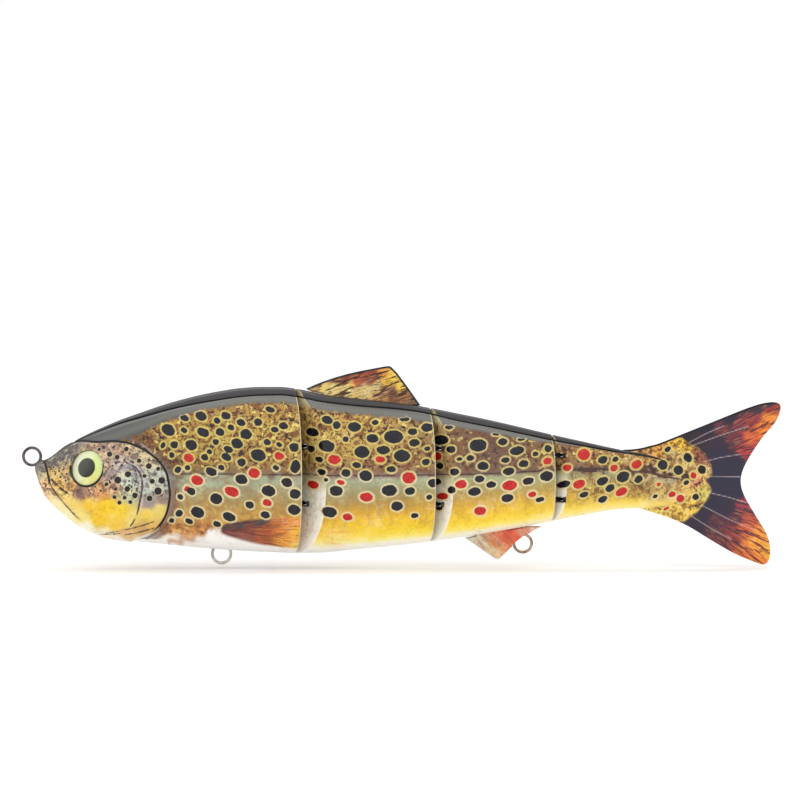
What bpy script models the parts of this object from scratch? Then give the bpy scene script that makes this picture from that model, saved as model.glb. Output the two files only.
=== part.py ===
"""A four-section hard swimbait shaped like a trout: plastic half shells, joined by wire eyes on steel pins.

Frame: metres, +X from the nose to the tail, +Z up towards the back, origin at the centre of the line tie.
The fish's left side is at -Y. Every named dimension below is in millimetres.
"""

import math

import bmesh
import bpy
import numpy as np
from mathutils import Matrix, Vector

MM = 0.001
BEYOND_SIDES, BEYOND_TOP = 25.0, 60.0  # cutters reach past the body

# The body's lines, as (distance from the line tie, height or half width).
BACK = [
    (1.2, -3.9), (2.0, -2.7), (3.5, -1.7), (6.0, -1.0), (9.3, 1.1), (12.8, 3.9), (16.9, 6.2),
    (25.4, 10.4), (35.5, 14.7), (43.6, 17.6), (51.7, 20.4), (59.8, 22.8), (67.8, 24.8), (75.9, 26.4),
    (84.0, 27.6), (92.0, 28.1), (100.1, 28.1), (108.2, 27.1), (116.3, 25.4), (129.6, 23.7),
    (148.6, 21.6), (160.7, 19.6), (172.8, 17.2), (184.9, 14.7), (197.0, 11.9), (209.2, 9.0),
    (221.3, 6.3), (237.4, 2.8), (247.0, 1.2), (256.4, -1.4), (265.0, -5.6),
]
BELLY = [
    (1.2, -5.4), (2.0, -8.2), (3.2, -12.0), (4.2, -14.3), (6.0, -17.2), (8.5, -19.9), (11.3, -22.4),
    (15.3, -25.7), (19.4, -28.5), (27.5, -31.9), (35.5, -33.6), (43.6, -34.4), (59.8, -36.1),
    (75.9, -37.6), (92.0, -38.5), (108.2, -39.0), (116.3, -38.9), (129.6, -37.7), (148.6, -35.9),
    (172.8, -32.8), (197.0, -28.7), (221.3, -24.0), (237.4, -21.3), (247.0, -20.9), (256.4, -20.0),
    (265.0, -16.0),
]
HALF_WIDTH = [
    (1.2, 1.3), (2.0, 2.2), (4.0, 3.6), (7.3, 5.3), (11.0, 7.1), (15.3, 9.0), (20.0, 10.8),
    (25.0, 12.5), (30.0, 13.8), (38.0, 15.3), (50.0, 16.4), (65.0, 16.9), (84.0, 17.0), (108.0, 16.2),
    (130.0, 14.9), (150.0, 13.4), (163.0, 12.3), (185.0, 10.3), (209.0, 8.1), (225.0, 6.6),
    (240.0, 4.7), (250.0, 3.3), (265.0, 1.3),
]
NOSE_X, BODY_END_X = 1.2, 265.0

# The cross-section: widest below the middle, with a narrow crowned ridge along the back.
WIDEST_AT = 0.47  # share of the height
BELLY_POWER, FLANK_POWER = 2.3, 2.0
RIDGE_SHARE = 0.27  # ridge's half width over the body's
CROWN_BASE, CROWN_SHARE = 1.0, 0.018  # the crown's height is this plus a share of the body's height

WALL = 2.0
SEAM_GAP = 0.1  # from the middle plane to each half shell
FIT_GAP = 0.3
BORE_GAP = 0.2

# The joints. Each is a vertical pin in the nose of one section, through two wire eyes of the section before it.
JOINT_X = {"front": 108.9, "middle": 163.3, "rear": 212.5}
EYE_HEIGHTS = {"front": (4.2, -18.8), "middle": (3.4, -19.2), "rear": (0.6, -17.2)}
NOSE_RADIUS = 2.4
JOINT_GAP = 0.35
WEDGE_ANGLE = math.radians(40)  # of the nose's faces, from straight across the body
SOCKET_ANGLE = math.radians(12)  # of the hollow tail end before it
PIN_RADIUS = 0.8
PIN_END_INSET = 5.0
HINGE_WIRE_RADIUS, HINGE_LOOP_RADIUS, HINGE_EYE_LENGTH = 0.6, 1.65, 8.0
SLIT_HEIGHT, SLIT_REACH = 2.1, 2.9
NOSE_BLOCK = 4.5  # solid plastic behind each pin
BULKHEAD = 2.5
BOSS_HALF_WIDTH, BOSS_HALF_HEIGHT, BOSS_END = 4.2, 2.8, 2.0  # of the blocks that hold the anchor loops
HOLLOW_START, HOLLOW_END = 20.0, 236.0  # of the hollow in the head and in the tail section

# The three outside eyes: (loop's centre x, z), angle from +X towards the anchor, loops' centre distance.
EYE_WIRE_RADIUS = 0.6
ANCHOR_LOOP_RADIUS = 1.9
OUTSIDE_EYES = {
    "line_tie": ((0.0, 0.0), math.radians(-25), 12.0, 3.5),
    "front_hook_hanger": ((76.5, -39.3), math.radians(90), 8.0, 3.75),
    "rear_hook_hanger": ((198.2, -35.1), math.radians(94), 11.2, 3.6),
}
HANGER_BOSS = (4.4, 3.4, 4.6)  # half its length, half its width, and its height above the anchor loop's centre

# The eyes, on flats turned forwards and up.
EYE_X, EYE_Z = 22.6, -4.0
EYE_FORWARD, EYE_UP = math.radians(28), math.radians(13)
EYE_RADIUS = 7.1
EYE_SOCKET_DEPTH, EYE_SOCKET_GAP = 2.0, 0.4
PAST_SKIN = 6.0  # how far the socket's cutter reaches out of the skin
IRIS_THICKNESS = 0.6
EYE_SIDES = 28
LENS_EDGE, LENS_RISE = 0.5, 1.5  # the clear dome's straight edge, and its rise above it

# Steel ballast slugs: start x, end x, height, radius.
BALLAST = {
    "head_ballast_front": (38.0, 68.0, -25.2, 6.6),
    "head_ballast_rear": (84.0, 95.0, -28.6, 7.0),
    "front_body_ballast": (122.0, 148.0, -27.0, 6.4),
    "rear_body_ballast": (173.5, 188.0, -21.8, 4.0),
}
CRADLE_MARGIN, CRADLE_WALL = 2.0, 1.8

DORSAL_EDGE = [
    (110.6, 27.3), (117.9, 30.4), (127.6, 33.4), (137.3, 35.4), (143.6, 36.5), (145.2, 36.0),
    (147.4, 33.8), (151.8, 27.9), (156.6, 21.3),
]
DORSAL_TONGUE = (117.0, 154.0, 3.2)  # first x, last x, depth
DORSAL_HALF = 1.0
ANAL_EDGE = [
    (175.6, -33.4), (186.6, -41.1), (188.4, -41.6), (190.0, -40.2), (193.9, -36.4), (198.8, -32.3),
    (203.4, -29.5), (206.4, -28.0),
]
ANAL_TONGUE = (179.0, 192.0, 3.0)
ANAL_HALF = 1.5
TAIL_EDGE = [
    (243.5, -20.4), (243.5, 0.6), (245.6, 3.2), (253.6, 5.4), (263.3, 9.3), (273.8, 13.5),
    (285.9, 18.4), (294.0, 21.2), (300.0, 21.9), (302.3, 20.0), (300.3, 14.1), (294.9, 7.6),
    (289.5, -0.6), (286.8, -6.4), (286.3, -11.2), (288.1, -16.7), (293.0, -25.0), (296.7, -31.3),
    (298.1, -36.3), (297.9, -41.2), (295.9, -43.6), (292.5, -42.9), (283.2, -39.0), (273.4, -33.3),
    (264.6, -28.0), (256.8, -24.6), (249.9, -22.4),
]
TAIL_HALF = 0.6


def through(points, x):
    """The smooth curve through these points, at x. It never overshoots them."""
    xs, ys = np.array(points).T
    steps = np.diff(xs)
    slopes = np.diff(ys) / steps
    tangents = np.concatenate([slopes[:1], np.zeros(len(xs) - 2), slopes[-1:]])
    turning = slopes[:-1] * slopes[1:] > 0
    both = np.where(turning, slopes[:-1] + slopes[1:], 1.0)
    tangents[1:-1] = np.where(turning, 2 * slopes[:-1] * slopes[1:] / both, 0.0)
    i = int(np.clip(np.searchsorted(xs, x) - 1, 0, len(xs) - 2))
    t = (x - xs[i]) / steps[i]
    rise = (3 - 2 * t) * t * t
    return float(
        ys[i] + (ys[i + 1] - ys[i]) * rise
        + steps[i] * t * (1 - t) * (tangents[i] * (1 - t) - tangents[i + 1] * t)
    )


def half_section(x, inset=0.0):
    """Points (y, z) of one side of the body at x, from the belly's middle to the back's."""
    low, high = through(BELLY, x) + inset, through(BACK, x) - inset
    half = through(HALF_WIDTH, x) - inset
    widest = low + WIDEST_AT * (high - low)
    crown = CROWN_BASE + CROWN_SHARE * (high - low)
    ridge = RIDGE_SHARE * half
    points = []
    for angle in np.linspace(math.pi / 2, 0, 6):
        across = max(math.cos(angle), 0.0) ** (2 / BELLY_POWER)
        points.append((half * across, widest - (widest - low) * math.sin(angle) ** (2 / BELLY_POWER)))
    last = math.acos(RIDGE_SHARE ** (FLANK_POWER / 2))
    reach = (high - crown - widest) / math.sin(last) ** (2 / FLANK_POWER)
    for angle in np.linspace(0, last, 7)[1:]:
        along = math.sin(angle) ** (2 / FLANK_POWER)
        points.append((half * math.cos(angle) ** (2 / FLANK_POWER), widest + reach * along))
    points.append((ridge / 2, high - crown / 4))
    points.append((0.0, high))
    return points


def collection(name, helper=False):
    made = bpy.data.collections.new(name)
    bpy.context.scene.collection.children.link(made)
    made.hide_render = helper
    return made


def add(name, mesh, where):
    made = bpy.data.objects.new(name, mesh)
    where.objects.link(made)
    return made


def helper(name, mesh):
    made = add(name, mesh, CUTTERS)
    made.hide_render = True
    made.display_type = "WIRE"
    return made


def body_loft(name, stations, inset):
    """The whole body, both sides, between the first and the last of these stations."""
    shape = bmesh.new()
    rings = []
    for x in stations:
        side = half_section(x, inset)
        loop = side + [(-y, z) for y, z in side[-2:0:-1]]
        rings.append([shape.verts.new(Vector((x, y, z)) * MM) for y, z in loop])
    for ring, following in zip(rings, rings[1:]):
        for i in range(len(ring)):
            k = (i + 1) % len(ring)
            shape.faces.new((ring[i], ring[k], following[k], following[i]))
    shape.faces.new(rings[0])
    shape.faces.new(rings[-1])
    bmesh.ops.recalc_face_normals(shape, faces=shape.faces)
    mesh = bpy.data.meshes.new(name)
    shape.to_mesh(mesh)
    shape.free()
    return helper(name, mesh)


def flat_outline(name, points, half_thickness, upright=False, where=None):
    """A closed flat outline as a solid: in the XY plane, or upright in the XZ plane."""
    curve = bpy.data.curves.new(name, "CURVE")
    curve.dimensions = "2D"
    curve.fill_mode = "BOTH"
    curve.extrude = half_thickness * MM
    line = curve.splines.new("POLY")
    line.points.add(len(points) - 1)
    for point, (a, b) in zip(line.points, points):
        point.co = (a * MM, b * MM, 0, 1)
    line.use_cyclic_u = True
    drawn = helper(name + "_outline", curve)
    if upright:
        drawn.rotation_euler = (math.pi / 2, 0, 0)
    mesh = as_mesh(drawn, name)
    bpy.data.objects.remove(drawn)
    return add(name, mesh, where) if where else helper(name, mesh)


def as_mesh(obj, name):
    """The object's evaluated mesh in world space, with its caps welded."""
    bpy.context.view_layer.update()
    seen = obj.evaluated_get(bpy.context.evaluated_depsgraph_get())
    mesh = bpy.data.meshes.new_from_object(seen)
    mesh.name = name
    mesh.transform(obj.matrix_world)
    shape = bmesh.new()
    shape.from_mesh(mesh)
    bmesh.ops.remove_doubles(shape, verts=shape.verts, dist=0.00001)
    bmesh.ops.recalc_face_normals(shape, faces=shape.faces)
    shape.to_mesh(mesh)
    shape.free()
    return mesh


def primitive(name, kind, matrix, where=None, **sizes):
    """A Blender primitive, placed by matrix, whose mesh is in the object's frame."""
    getattr(bpy.ops.mesh, f"primitive_{kind}_add")(**sizes)
    made = bpy.context.object
    for holder in made.users_collection:
        holder.objects.unlink(made)
    (where or CUTTERS).objects.link(made)
    made.name = name
    made.data.name = name
    made.data.transform(matrix)
    if where is None:
        made.hide_render = True
        made.display_type = "WIRE"
    return made


def block(name, low, high):
    """A box between two corners."""
    low, high = Vector(low) * MM, Vector(high) * MM
    place = Matrix.Translation((low + high) / 2) @ Matrix.Diagonal((*(high - low), 1))
    return primitive(name, "cube", place, size=1)


def rod(name, start, end, radius, sides=12, where=None):
    """A round bar between two points."""
    start, end = Vector(start) * MM, Vector(end) * MM
    turn = (end - start).to_track_quat("Z", "Y").to_matrix().to_4x4()
    place = Matrix.Translation((start + end) / 2) @ turn
    return primitive(
        name, "cylinder", place, where, vertices=sides, radius=radius * MM, depth=(end - start).length
    )


def ring(name, centre, normal, radius, wire, around=20, across=8, where=None):
    """A torus about a centre, in the plane across normal."""
    turn = Vector(normal).to_track_quat("Z", "Y").to_matrix().to_4x4()
    place = Matrix.Translation(Vector(centre) * MM) @ turn
    return primitive(
        name, "torus", place, where,
        major_segments=around, minor_segments=across, major_radius=radius * MM, minor_radius=wire * MM,
    )


def combine(obj, others, operation):
    """Cuts, joins or intersects obj with others, and keeps the result as its mesh."""
    for other in others:
        step = obj.modifiers.new(other.name, "BOOLEAN")
        step.operation = operation
        step.solver = "EXACT"
        step.object = other
    mesh = as_mesh(obj, obj.name)
    obj.modifiers.clear()
    obj.data = mesh
    return obj


def copy_of(obj, name):
    return helper(name, obj.data.copy())


def show(obj):
    """Makes a helper a part."""
    CUTTERS.objects.unlink(obj)
    PARTS.objects.link(obj)
    obj.hide_render = False
    obj.display_type = "TEXTURED"


def material(name, colour, roughness, metallic=0.0, transmission=0.0):
    made = bpy.data.materials.new(name)
    made.use_nodes = True
    shader = made.node_tree.nodes["Principled BSDF"]
    shader.inputs["Base Color"].default_value = (*colour, 1)
    shader.inputs["Roughness"].default_value = roughness
    shader.inputs["Metallic"].default_value = metallic
    shader.inputs["Transmission Weight"].default_value = transmission
    return made


def paint(obj, finish):
    obj.data.materials.clear()
    obj.data.materials.append(finish)
    return obj


def shade(obj):
    obj.data.shade_smooth()
    obj.data.set_sharp_from_angle(angle=math.radians(35))


# --- the wire eyes ---------------------------------------------------------------------------------------


def eye_frame(centre, angle, length):
    """(outer loop's centre, anchor loop's centre) of an eye that lies in the middle plane."""
    outer = Vector((centre[0], 0, centre[1]))
    return outer, outer + Vector((math.cos(angle), 0, math.sin(angle))) * length


def wire_eye(name, outer, anchor, normal, outer_radius, anchor_radius, wire, around=20):
    """A figure-eight eye: a loop outside, a neck, and a smaller loop that a moulded post holds."""
    towards = (anchor - outer).normalized()
    made = ring(name, outer, normal, outer_radius, wire, around, where=PARTS)
    neck = rod(name + "_neck", outer + towards * outer_radius, anchor - towards * anchor_radius, 0.88 * wire, 8)
    held = ring(name + "_held", anchor, normal, anchor_radius, wire, 14)
    return combine(made, [neck, held], "UNION")


def eye_room(name, outer, anchor, normal, outer_radius, anchor_radius, wire):
    """What a half shell gives up for an eye: a groove for the anchor loop and a channel for the neck."""
    towards = (anchor - outer).normalized()
    groove_wire = (wire + FIT_GAP) / math.cos(math.pi / 6)
    groove = ring(name + "_groove", anchor, normal, anchor_radius, groove_wire, 14, 6)
    channel_start = outer + towards * (outer_radius - wire)
    channel_radius = (wire + FIT_GAP) / math.cos(math.pi / 8)
    channel = rod(name + "_channel", channel_start, anchor - towards * anchor_radius, channel_radius, 8)
    return combine(groove, [channel], "UNION")


def outside_eye_room(name, pocket_too=True):
    centre, angle, length, radius = OUTSIDE_EYES[name]
    outer, anchor = eye_frame(centre, angle, length)
    room = eye_room(name, outer, anchor, (0, 1, 0), radius, ANCHOR_LOOP_RADIUS, EYE_WIRE_RADIUS)
    if not pocket_too:
        return room
    half = Vector((0, EYE_WIRE_RADIUS + FIT_GAP, 0))
    pocket = rod(name + "_pocket", outer - half, outer + half, radius + EYE_WIRE_RADIUS + FIT_GAP, 20)
    return combine(room, [pocket], "UNION")


def hanger_boss(name):
    """A block on the belly that holds a hook hanger's anchor loop."""
    centre, angle, length, _ = OUTSIDE_EYES[name]
    _, anchor = eye_frame(centre, angle, length)
    across, half, up = HANGER_BOSS
    low = (anchor.x - across, -half, -BEYOND_TOP)
    return block(name + "_boss", low, (anchor.x + across, half, anchor.z + up))


def make_outside_eye(name, finish):
    centre, angle, length, radius = OUTSIDE_EYES[name]
    outer, anchor = eye_frame(centre, angle, length)
    made = wire_eye(name, outer, anchor, (0, 1, 0), radius, ANCHOR_LOOP_RADIUS, EYE_WIRE_RADIUS, 28)
    shade(paint(made, finish))


def hinge_eye_places(joint):
    """(outer loop's centre on the pin, anchor loop's centre) of a joint's upper and lower eye."""
    for height in EYE_HEIGHTS[joint]:
        on_pin = Vector((JOINT_X[joint], 0, height))
        yield on_pin, on_pin - Vector((HINGE_EYE_LENGTH, 0, 0))


def make_hinge_eyes(joint, finish):
    for where, (on_pin, anchor) in zip(("upper", "lower"), hinge_eye_places(joint)):
        made = wire_eye(
            f"{joint}_hinge_eye_{where}", on_pin, anchor, (0, 0, 1),
            HINGE_LOOP_RADIUS, HINGE_LOOP_RADIUS, HINGE_WIRE_RADIUS, 16,
        )
        shade(paint(made, finish))


# --- the half shells -------------------------------------------------------------------------------------


def nose_line(joint, y, behind=0.0):
    """x of a nose's wedge face at y, moved back by a thickness."""
    apex = JOINT_X[joint] - (NOSE_RADIUS - behind) / math.cos(WEDGE_ANGLE)
    return apex + abs(y) * math.tan(WEDGE_ANGLE)


def socket_line(joint, y, before=0.0):
    """x of the hollow tail end before a joint at y, moved forwards by a thickness."""
    apex = JOINT_X[joint] - (NOSE_RADIUS + JOINT_GAP + before) / math.cos(SOCKET_ANGLE)
    return apex + abs(y) * math.tan(SOCKET_ANGLE)


def section_outline(front, rear):
    """The left half of a section seen from above, from its front joint to its rear one."""
    wide = BEYOND_SIDES
    points = []
    if front:
        # A round nose about the pin, from the middle plane to where the wedge face leaves it.
        for angle in np.linspace(0, WEDGE_ANGLE, 5):
            along = NOSE_RADIUS * math.cos(angle)
            points.append((JOINT_X[front] - along, -max(NOSE_RADIUS * math.sin(angle), SEAM_GAP)))
        points.append((nose_line(front, wide), -wide))
    else:
        points += [(NOSE_X - 5, -SEAM_GAP), (NOSE_X - 5, -wide)]
    if rear:
        points.append((socket_line(rear, wide), -wide))
        for angle in np.linspace(SOCKET_ANGLE, 0, 3):
            along = (NOSE_RADIUS + JOINT_GAP) * math.cos(angle)
            across = (NOSE_RADIUS + JOINT_GAP) * math.sin(angle)
            points.append((JOINT_X[rear] - along, -max(across, SEAM_GAP)))
    else:
        points += [(BODY_END_X + 5, -wide), (BODY_END_X + 5, -SEAM_GAP)]
    return points


def core_outline(front, rear):
    """The hollow of a section seen from above, both sides."""
    wide = BEYOND_SIDES
    if front:
        first_x = JOINT_X[front] + NOSE_BLOCK
        corner = (first_x - nose_line(front, 0, WALL)) / math.tan(WEDGE_ANGLE)
        side = [(first_x, -corner), (nose_line(front, wide, WALL), -wide)]
    else:
        side = [(HOLLOW_START, -wide)]
    if rear:
        side += [(socket_line(rear, wide, BULKHEAD), -wide), (socket_line(rear, 0, BULKHEAD), 0)]
        return side + [(x, -y) for x, y in side[-2::-1]]
    side += [(HOLLOW_END, -wide)]
    return side + [(x, -y) for x, y in side[::-1]]


def ballast_cradle(name):
    """(the block that holds a slug, the room that the slug takes in it)."""
    start, end, height, radius = BALLAST[name]
    half = radius + CRADLE_WALL
    low = (start - CRADLE_MARGIN, -half, -BEYOND_TOP)
    cradle = block(name + "_cradle", low, (end + CRADLE_MARGIN, half, height))
    room = rod(
        name + "_room", (start - FIT_GAP, 0, height), (end + FIT_GAP, 0, height),
        (radius + FIT_GAP) / math.cos(math.pi / 16), 16,
    )
    return cradle, room


def eye_place(side):
    """(a point on the skin, the eye's axis outwards). side is -1 for the fish's left, and 1 for its right."""
    axis = Vector((
        -math.sin(EYE_FORWARD) * math.cos(EYE_UP),
        side * math.cos(EYE_FORWARD) * math.cos(EYE_UP),
        math.sin(EYE_UP),
    ))
    ys, zs = np.array(half_section(EYE_X)).T
    flank = slice(5, 12)
    skin = float(np.interp(EYE_Z, zs[flank], ys[flank]))
    return Vector((EYE_X, side * skin, EYE_Z)), axis


def joint_room(joint):
    """What the section behind a joint gives up: a slit for each eye and a bore for the pin."""
    x = JOINT_X[joint]
    room = []
    for i, height in enumerate(EYE_HEIGHTS[joint]):
        low, high = height - SLIT_HEIGHT / 2, height + SLIT_HEIGHT / 2
        front, side = x - 2 * NOSE_RADIUS, BEYOND_SIDES
        room.append(block(f"{joint}_slit_{i}", (front, -side, low), (x + SLIT_REACH, side, high)))
    bottom, top = pin_span(joint)
    room.append(rod(f"{joint}_bore", (x, 0, bottom - FIT_GAP), (x, 0, top + FIT_GAP), PIN_RADIUS + BORE_GAP))
    return room


def pin_span(joint):
    x = JOINT_X[joint]
    return through(BELLY, x) + PIN_END_INSET, through(BACK, x) - PIN_END_INSET


def hinge_boss(joint):
    """Blocks on the rear bulkhead that hold a joint's two anchor loops."""
    x = JOINT_X[joint]
    reach = HINGE_EYE_LENGTH + HINGE_LOOP_RADIUS + HINGE_WIRE_RADIUS + BOSS_END
    across, up = BOSS_HALF_WIDTH, BOSS_HALF_HEIGHT
    return [
        block(f"{joint}_boss_{i}", (x - reach, -across, height - up), (x, across, height + up))
        for i, height in enumerate(EYE_HEIGHTS[joint])
    ]


def hinge_eye_room(joint):
    room = []
    for i, (on_pin, anchor) in enumerate(hinge_eye_places(joint)):
        name = f"{joint}_eye_{i}"
        room.append(
            eye_room(name, on_pin, anchor, (0, 0, 1), HINGE_LOOP_RADIUS, HINGE_LOOP_RADIUS, HINGE_WIRE_RADIUS)
        )
    return room


def slab(name, points, half):
    """Room for an upright plate, with the fit's gap on its flat sides."""
    return flat_outline(name, points, half + FIT_GAP, upright=True)


def make_shells(label, front, rear, bosses, cuts, finish):
    """Both half shells of one section. The right one is the left one's mirror image."""
    left = copy_of(BLANK, f"{label}_shell_left")
    outline = flat_outline(label + "_section", section_outline(front, rear), BEYOND_TOP)
    combine(left, [outline], "INTERSECT")
    hollow = copy_of(CORE, label + "_core")
    core_prism = flat_outline(label + "_core_section", core_outline(front, rear), BEYOND_TOP)
    combine(hollow, [core_prism], "INTERSECT")
    if bosses:
        combine(hollow, bosses, "DIFFERENCE")
    combine(left, [hollow], "DIFFERENCE")
    combine(left, cuts, "DIFFERENCE")
    show(left)
    right = add(f"{label}_shell_right", left.data, PARTS)
    right.scale.y = -1
    shade(paint(left, finish))


# --- fins, eyes, pins and ballast ------------------------------------------------------------------------


def tongue(line, gap, first, last, depth, into, grow=0.0):
    """A fin's tongue, as points from its last x to its first: below a body line (into -1) or above it (into 1)."""
    xs = np.linspace(last + grow, first - grow, 6)
    inner = [(x, through(line, x) + into * (depth + grow)) for x in xs]
    return [(xs[0], through(line, xs[0]) - into * gap), *inner, (xs[-1], through(line, xs[-1]) - into * gap)]


def base_points(line, first, last, away, count=5):
    """Points along a fin's base, just off the skin."""
    return [(x, through(line, x) + away * FIT_GAP) for x in np.linspace(first, last, count)]


def make_dorsal_fin(finish):
    first, last, depth = DORSAL_TONGUE
    outline = [
        *DORSAL_EDGE,
        *tongue(BACK, FIT_GAP, first, last, depth, -1),
        *base_points(BACK, first - 1.5, DORSAL_EDGE[0][0] + 1.5, 1, 3),
    ]
    made = flat_outline("dorsal_fin", outline, DORSAL_HALF, upright=True, where=PARTS)
    shade(paint(made, finish))


def make_anal_fin(finish):
    first, last, depth = ANAL_TONGUE
    outline = [
        *ANAL_EDGE,
        *base_points(BELLY, ANAL_EDGE[-1][0] - 1.5, last + 1.5, -1, 3),
        *tongue(BELLY, FIT_GAP, first, last, depth, 1),
    ]
    made = flat_outline("anal_fin", outline, ANAL_HALF, upright=True, where=PARTS)
    combine(made, [outside_eye_room("rear_hook_hanger")], "DIFFERENCE")
    shade(paint(made, finish))


def make_tail_fin(finish):
    made = flat_outline("tail_fin", TAIL_EDGE, TAIL_HALF, upright=True, where=PARTS)
    shade(paint(made, finish))


def make_lens(name, seat, axis, finish):
    """A clear dome: its half profile turned about the eye's axis."""
    sphere = (EYE_RADIUS**2 + LENS_RISE**2) / (2 * LENS_RISE)
    profile = []
    for across in np.linspace(0, EYE_RADIUS, 5):
        profile.append((across, LENS_EDGE + LENS_RISE - sphere + math.sqrt(sphere**2 - across**2)))
    profile += [(EYE_RADIUS, 0.0), (0.0, 0.0)]
    mesh = bpy.data.meshes.new(name)
    points = [Vector((across, 0, up)) * MM for across, up in profile]
    mesh.from_pydata(points, [(i, i + 1) for i in range(len(points) - 1)], [])
    made = add(name, mesh, PARTS)
    made.matrix_world = Matrix.Translation(seat * MM) @ axis.to_track_quat("Z", "Y").to_matrix().to_4x4()
    turn = made.modifiers.new("turn", "SCREW")
    turn.axis = "Z"
    turn.steps = turn.render_steps = EYE_SIDES
    turn.use_merge_vertices = True
    turn.merge_threshold = 0.00001
    made.data.materials.append(finish)


def make_eyes(print_finish, lens_finish):
    """Each eye is a printed disc under a clear dome, glued into a round socket."""
    for label, side in (("left", -1), ("right", 1)):
        skin, axis = eye_place(side)
        seat = skin - axis * (EYE_SOCKET_DEPTH - FIT_GAP)
        disc = rod(f"eye_iris_{label}", seat, seat + axis * IRIS_THICKNESS, EYE_RADIUS, EYE_SIDES, where=PARTS)
        shade(paint(disc, print_finish))
        make_lens(f"eye_lens_{label}", seat + axis * (IRIS_THICKNESS + FIT_GAP), axis, lens_finish)


def eye_socket(side):
    skin, axis = eye_place(side)
    radius = EYE_RADIUS + EYE_SOCKET_GAP
    return rod("eye_socket", skin - axis * EYE_SOCKET_DEPTH, skin + axis * PAST_SKIN, radius, EYE_SIDES)


def eye_boss(side):
    skin, axis = eye_place(side)
    radius = EYE_RADIUS + EYE_SOCKET_GAP + WALL
    return rod("eye_boss", skin - axis * (EYE_SOCKET_DEPTH + WALL), skin + axis * PAST_SKIN, radius, 20)


def make_pin(joint, finish):
    bottom, top = pin_span(joint)
    x = JOINT_X[joint]
    shade(paint(rod(f"{joint}_hinge_pin", (x, 0, bottom), (x, 0, top), PIN_RADIUS, 12, where=PARTS), finish))


def make_ballast(name, finish):
    start, end, height, radius = BALLAST[name]
    shade(paint(rod(name, (start, 0, height), (end, 0, height), radius, 16, where=PARTS), finish))


def hang_sections():
    """Each section turns on an empty on its joint's axis, and carries the sections behind it."""
    sections = (
        ("front", "front_body", "middle", ["front_body_ballast", "dorsal_fin"]),
        ("middle", "rear_body", "rear", ["rear_body_ballast", "anal_fin", "rear_hook_hanger"]),
        ("rear", "tail", None, ["tail_fin"]),
    )
    carrier, carrier_x = None, 0.0
    for joint_name, section, behind, own in sections:
        joint = add(f"{joint_name}_joint", None, PARTS)
        joint.parent = carrier
        joint.location.x = (JOINT_X[joint_name] - carrier_x) * MM
        carrier, carrier_x = joint, JOINT_X[joint_name]
        names = [f"{section}_shell_left", f"{section}_shell_right", f"{joint_name}_hinge_pin", *own]
        if behind:
            names += [f"{behind}_hinge_eye_upper", f"{behind}_hinge_eye_lower"]
        for name in names:
            piece = bpy.data.objects[name]
            piece.parent = joint
            piece.matrix_parent_inverse = Matrix.Translation((-carrier_x * MM, 0, 0))


for old in list(bpy.data.objects):
    bpy.data.objects.remove(old)
PARTS = collection("swimbait")
CUTTERS = collection("cutters", helper=True)

SKIN = material("printed_skin", (0.52, 0.42, 0.16), 0.22)
FIN_SKIN = material("fin_skin", (0.55, 0.26, 0.10), 0.3)
TAIL_SKIN = material("tail_skin", (0.22, 0.09, 0.09), 0.35)
WIRE = material("steel_wire", (0.62, 0.60, 0.58), 0.25, metallic=1.0)
BALLAST_STEEL = material("ballast_steel", (0.35, 0.35, 0.36), 0.5, metallic=1.0)
EYE_PRINT = material("eye_print", (0.75, 0.80, 0.36), 0.4)
EYE_CLEAR = material("eye_clear", (0.95, 0.95, 0.92), 0.05, transmission=1.0)

STATIONS = 46
BLANK = body_loft(
    "blank", [NOSE_X + (BODY_END_X - NOSE_X) * u**1.4 for u in np.linspace(0, 1, STATIONS)], 0.0
)
CORE_FIRST_X, CORE_LAST_X = 14.0, 242.0
CORE = body_loft("core", np.linspace(CORE_FIRST_X, CORE_LAST_X, 30), WALL)

dorsal_slot = slab(
    "dorsal_slot",
    tongue(BACK, 4.0, *DORSAL_TONGUE, -1, grow=FIT_GAP),
    DORSAL_HALF,
)
anal_slot = slab("anal_slot", tongue(BELLY, 4.0, *ANAL_TONGUE, 1, grow=FIT_GAP), ANAL_HALF)
TAIL_SLOT_X = TAIL_EDGE[0][0] - FIT_GAP
tail_slot = slab(
    "tail_slot",
    [
        (TAIL_SLOT_X, -BEYOND_TOP), (TAIL_SLOT_X, BEYOND_TOP),
        (BODY_END_X + FIT_GAP, BEYOND_TOP), (BODY_END_X + FIT_GAP, -BEYOND_TOP),
    ],
    TAIL_HALF,
)
head_front_cradle, head_front_room = ballast_cradle("head_ballast_front")
head_rear_cradle, head_rear_room = ballast_cradle("head_ballast_rear")
front_cradle, front_room = ballast_cradle("front_body_ballast")
rear_cradle, rear_room = ballast_cradle("rear_body_ballast")
front_hanger_boss = hanger_boss("front_hook_hanger")
rear_hanger_boss = hanger_boss("rear_hook_hanger")

make_shells(
    "head", None, "front",
    [eye_boss(-1), eye_boss(1), head_front_cradle, head_rear_cradle, front_hanger_boss, *hinge_boss("front")],
    [
        eye_socket(-1), head_front_room, head_rear_room, outside_eye_room("line_tie"),
        outside_eye_room("front_hook_hanger"), *hinge_eye_room("front"),
    ],
    SKIN,
)
make_shells(
    "front_body", "front", "middle",
    [front_cradle, *hinge_boss("middle")],
    [front_room, dorsal_slot, *joint_room("front"), *hinge_eye_room("middle")],
    SKIN,
)
make_shells(
    "rear_body", "middle", "rear",
    [rear_cradle, rear_hanger_boss, *hinge_boss("rear")],
    [
        rear_room, anal_slot, outside_eye_room("rear_hook_hanger", pocket_too=False), *joint_room("middle"),
        *hinge_eye_room("rear"),
    ],
    SKIN,
)
make_shells(
    "tail", "rear", None,
    [],
    [tail_slot, *joint_room("rear")],
    SKIN,
)
for eye_name in OUTSIDE_EYES:
    make_outside_eye(eye_name, WIRE)
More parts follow.
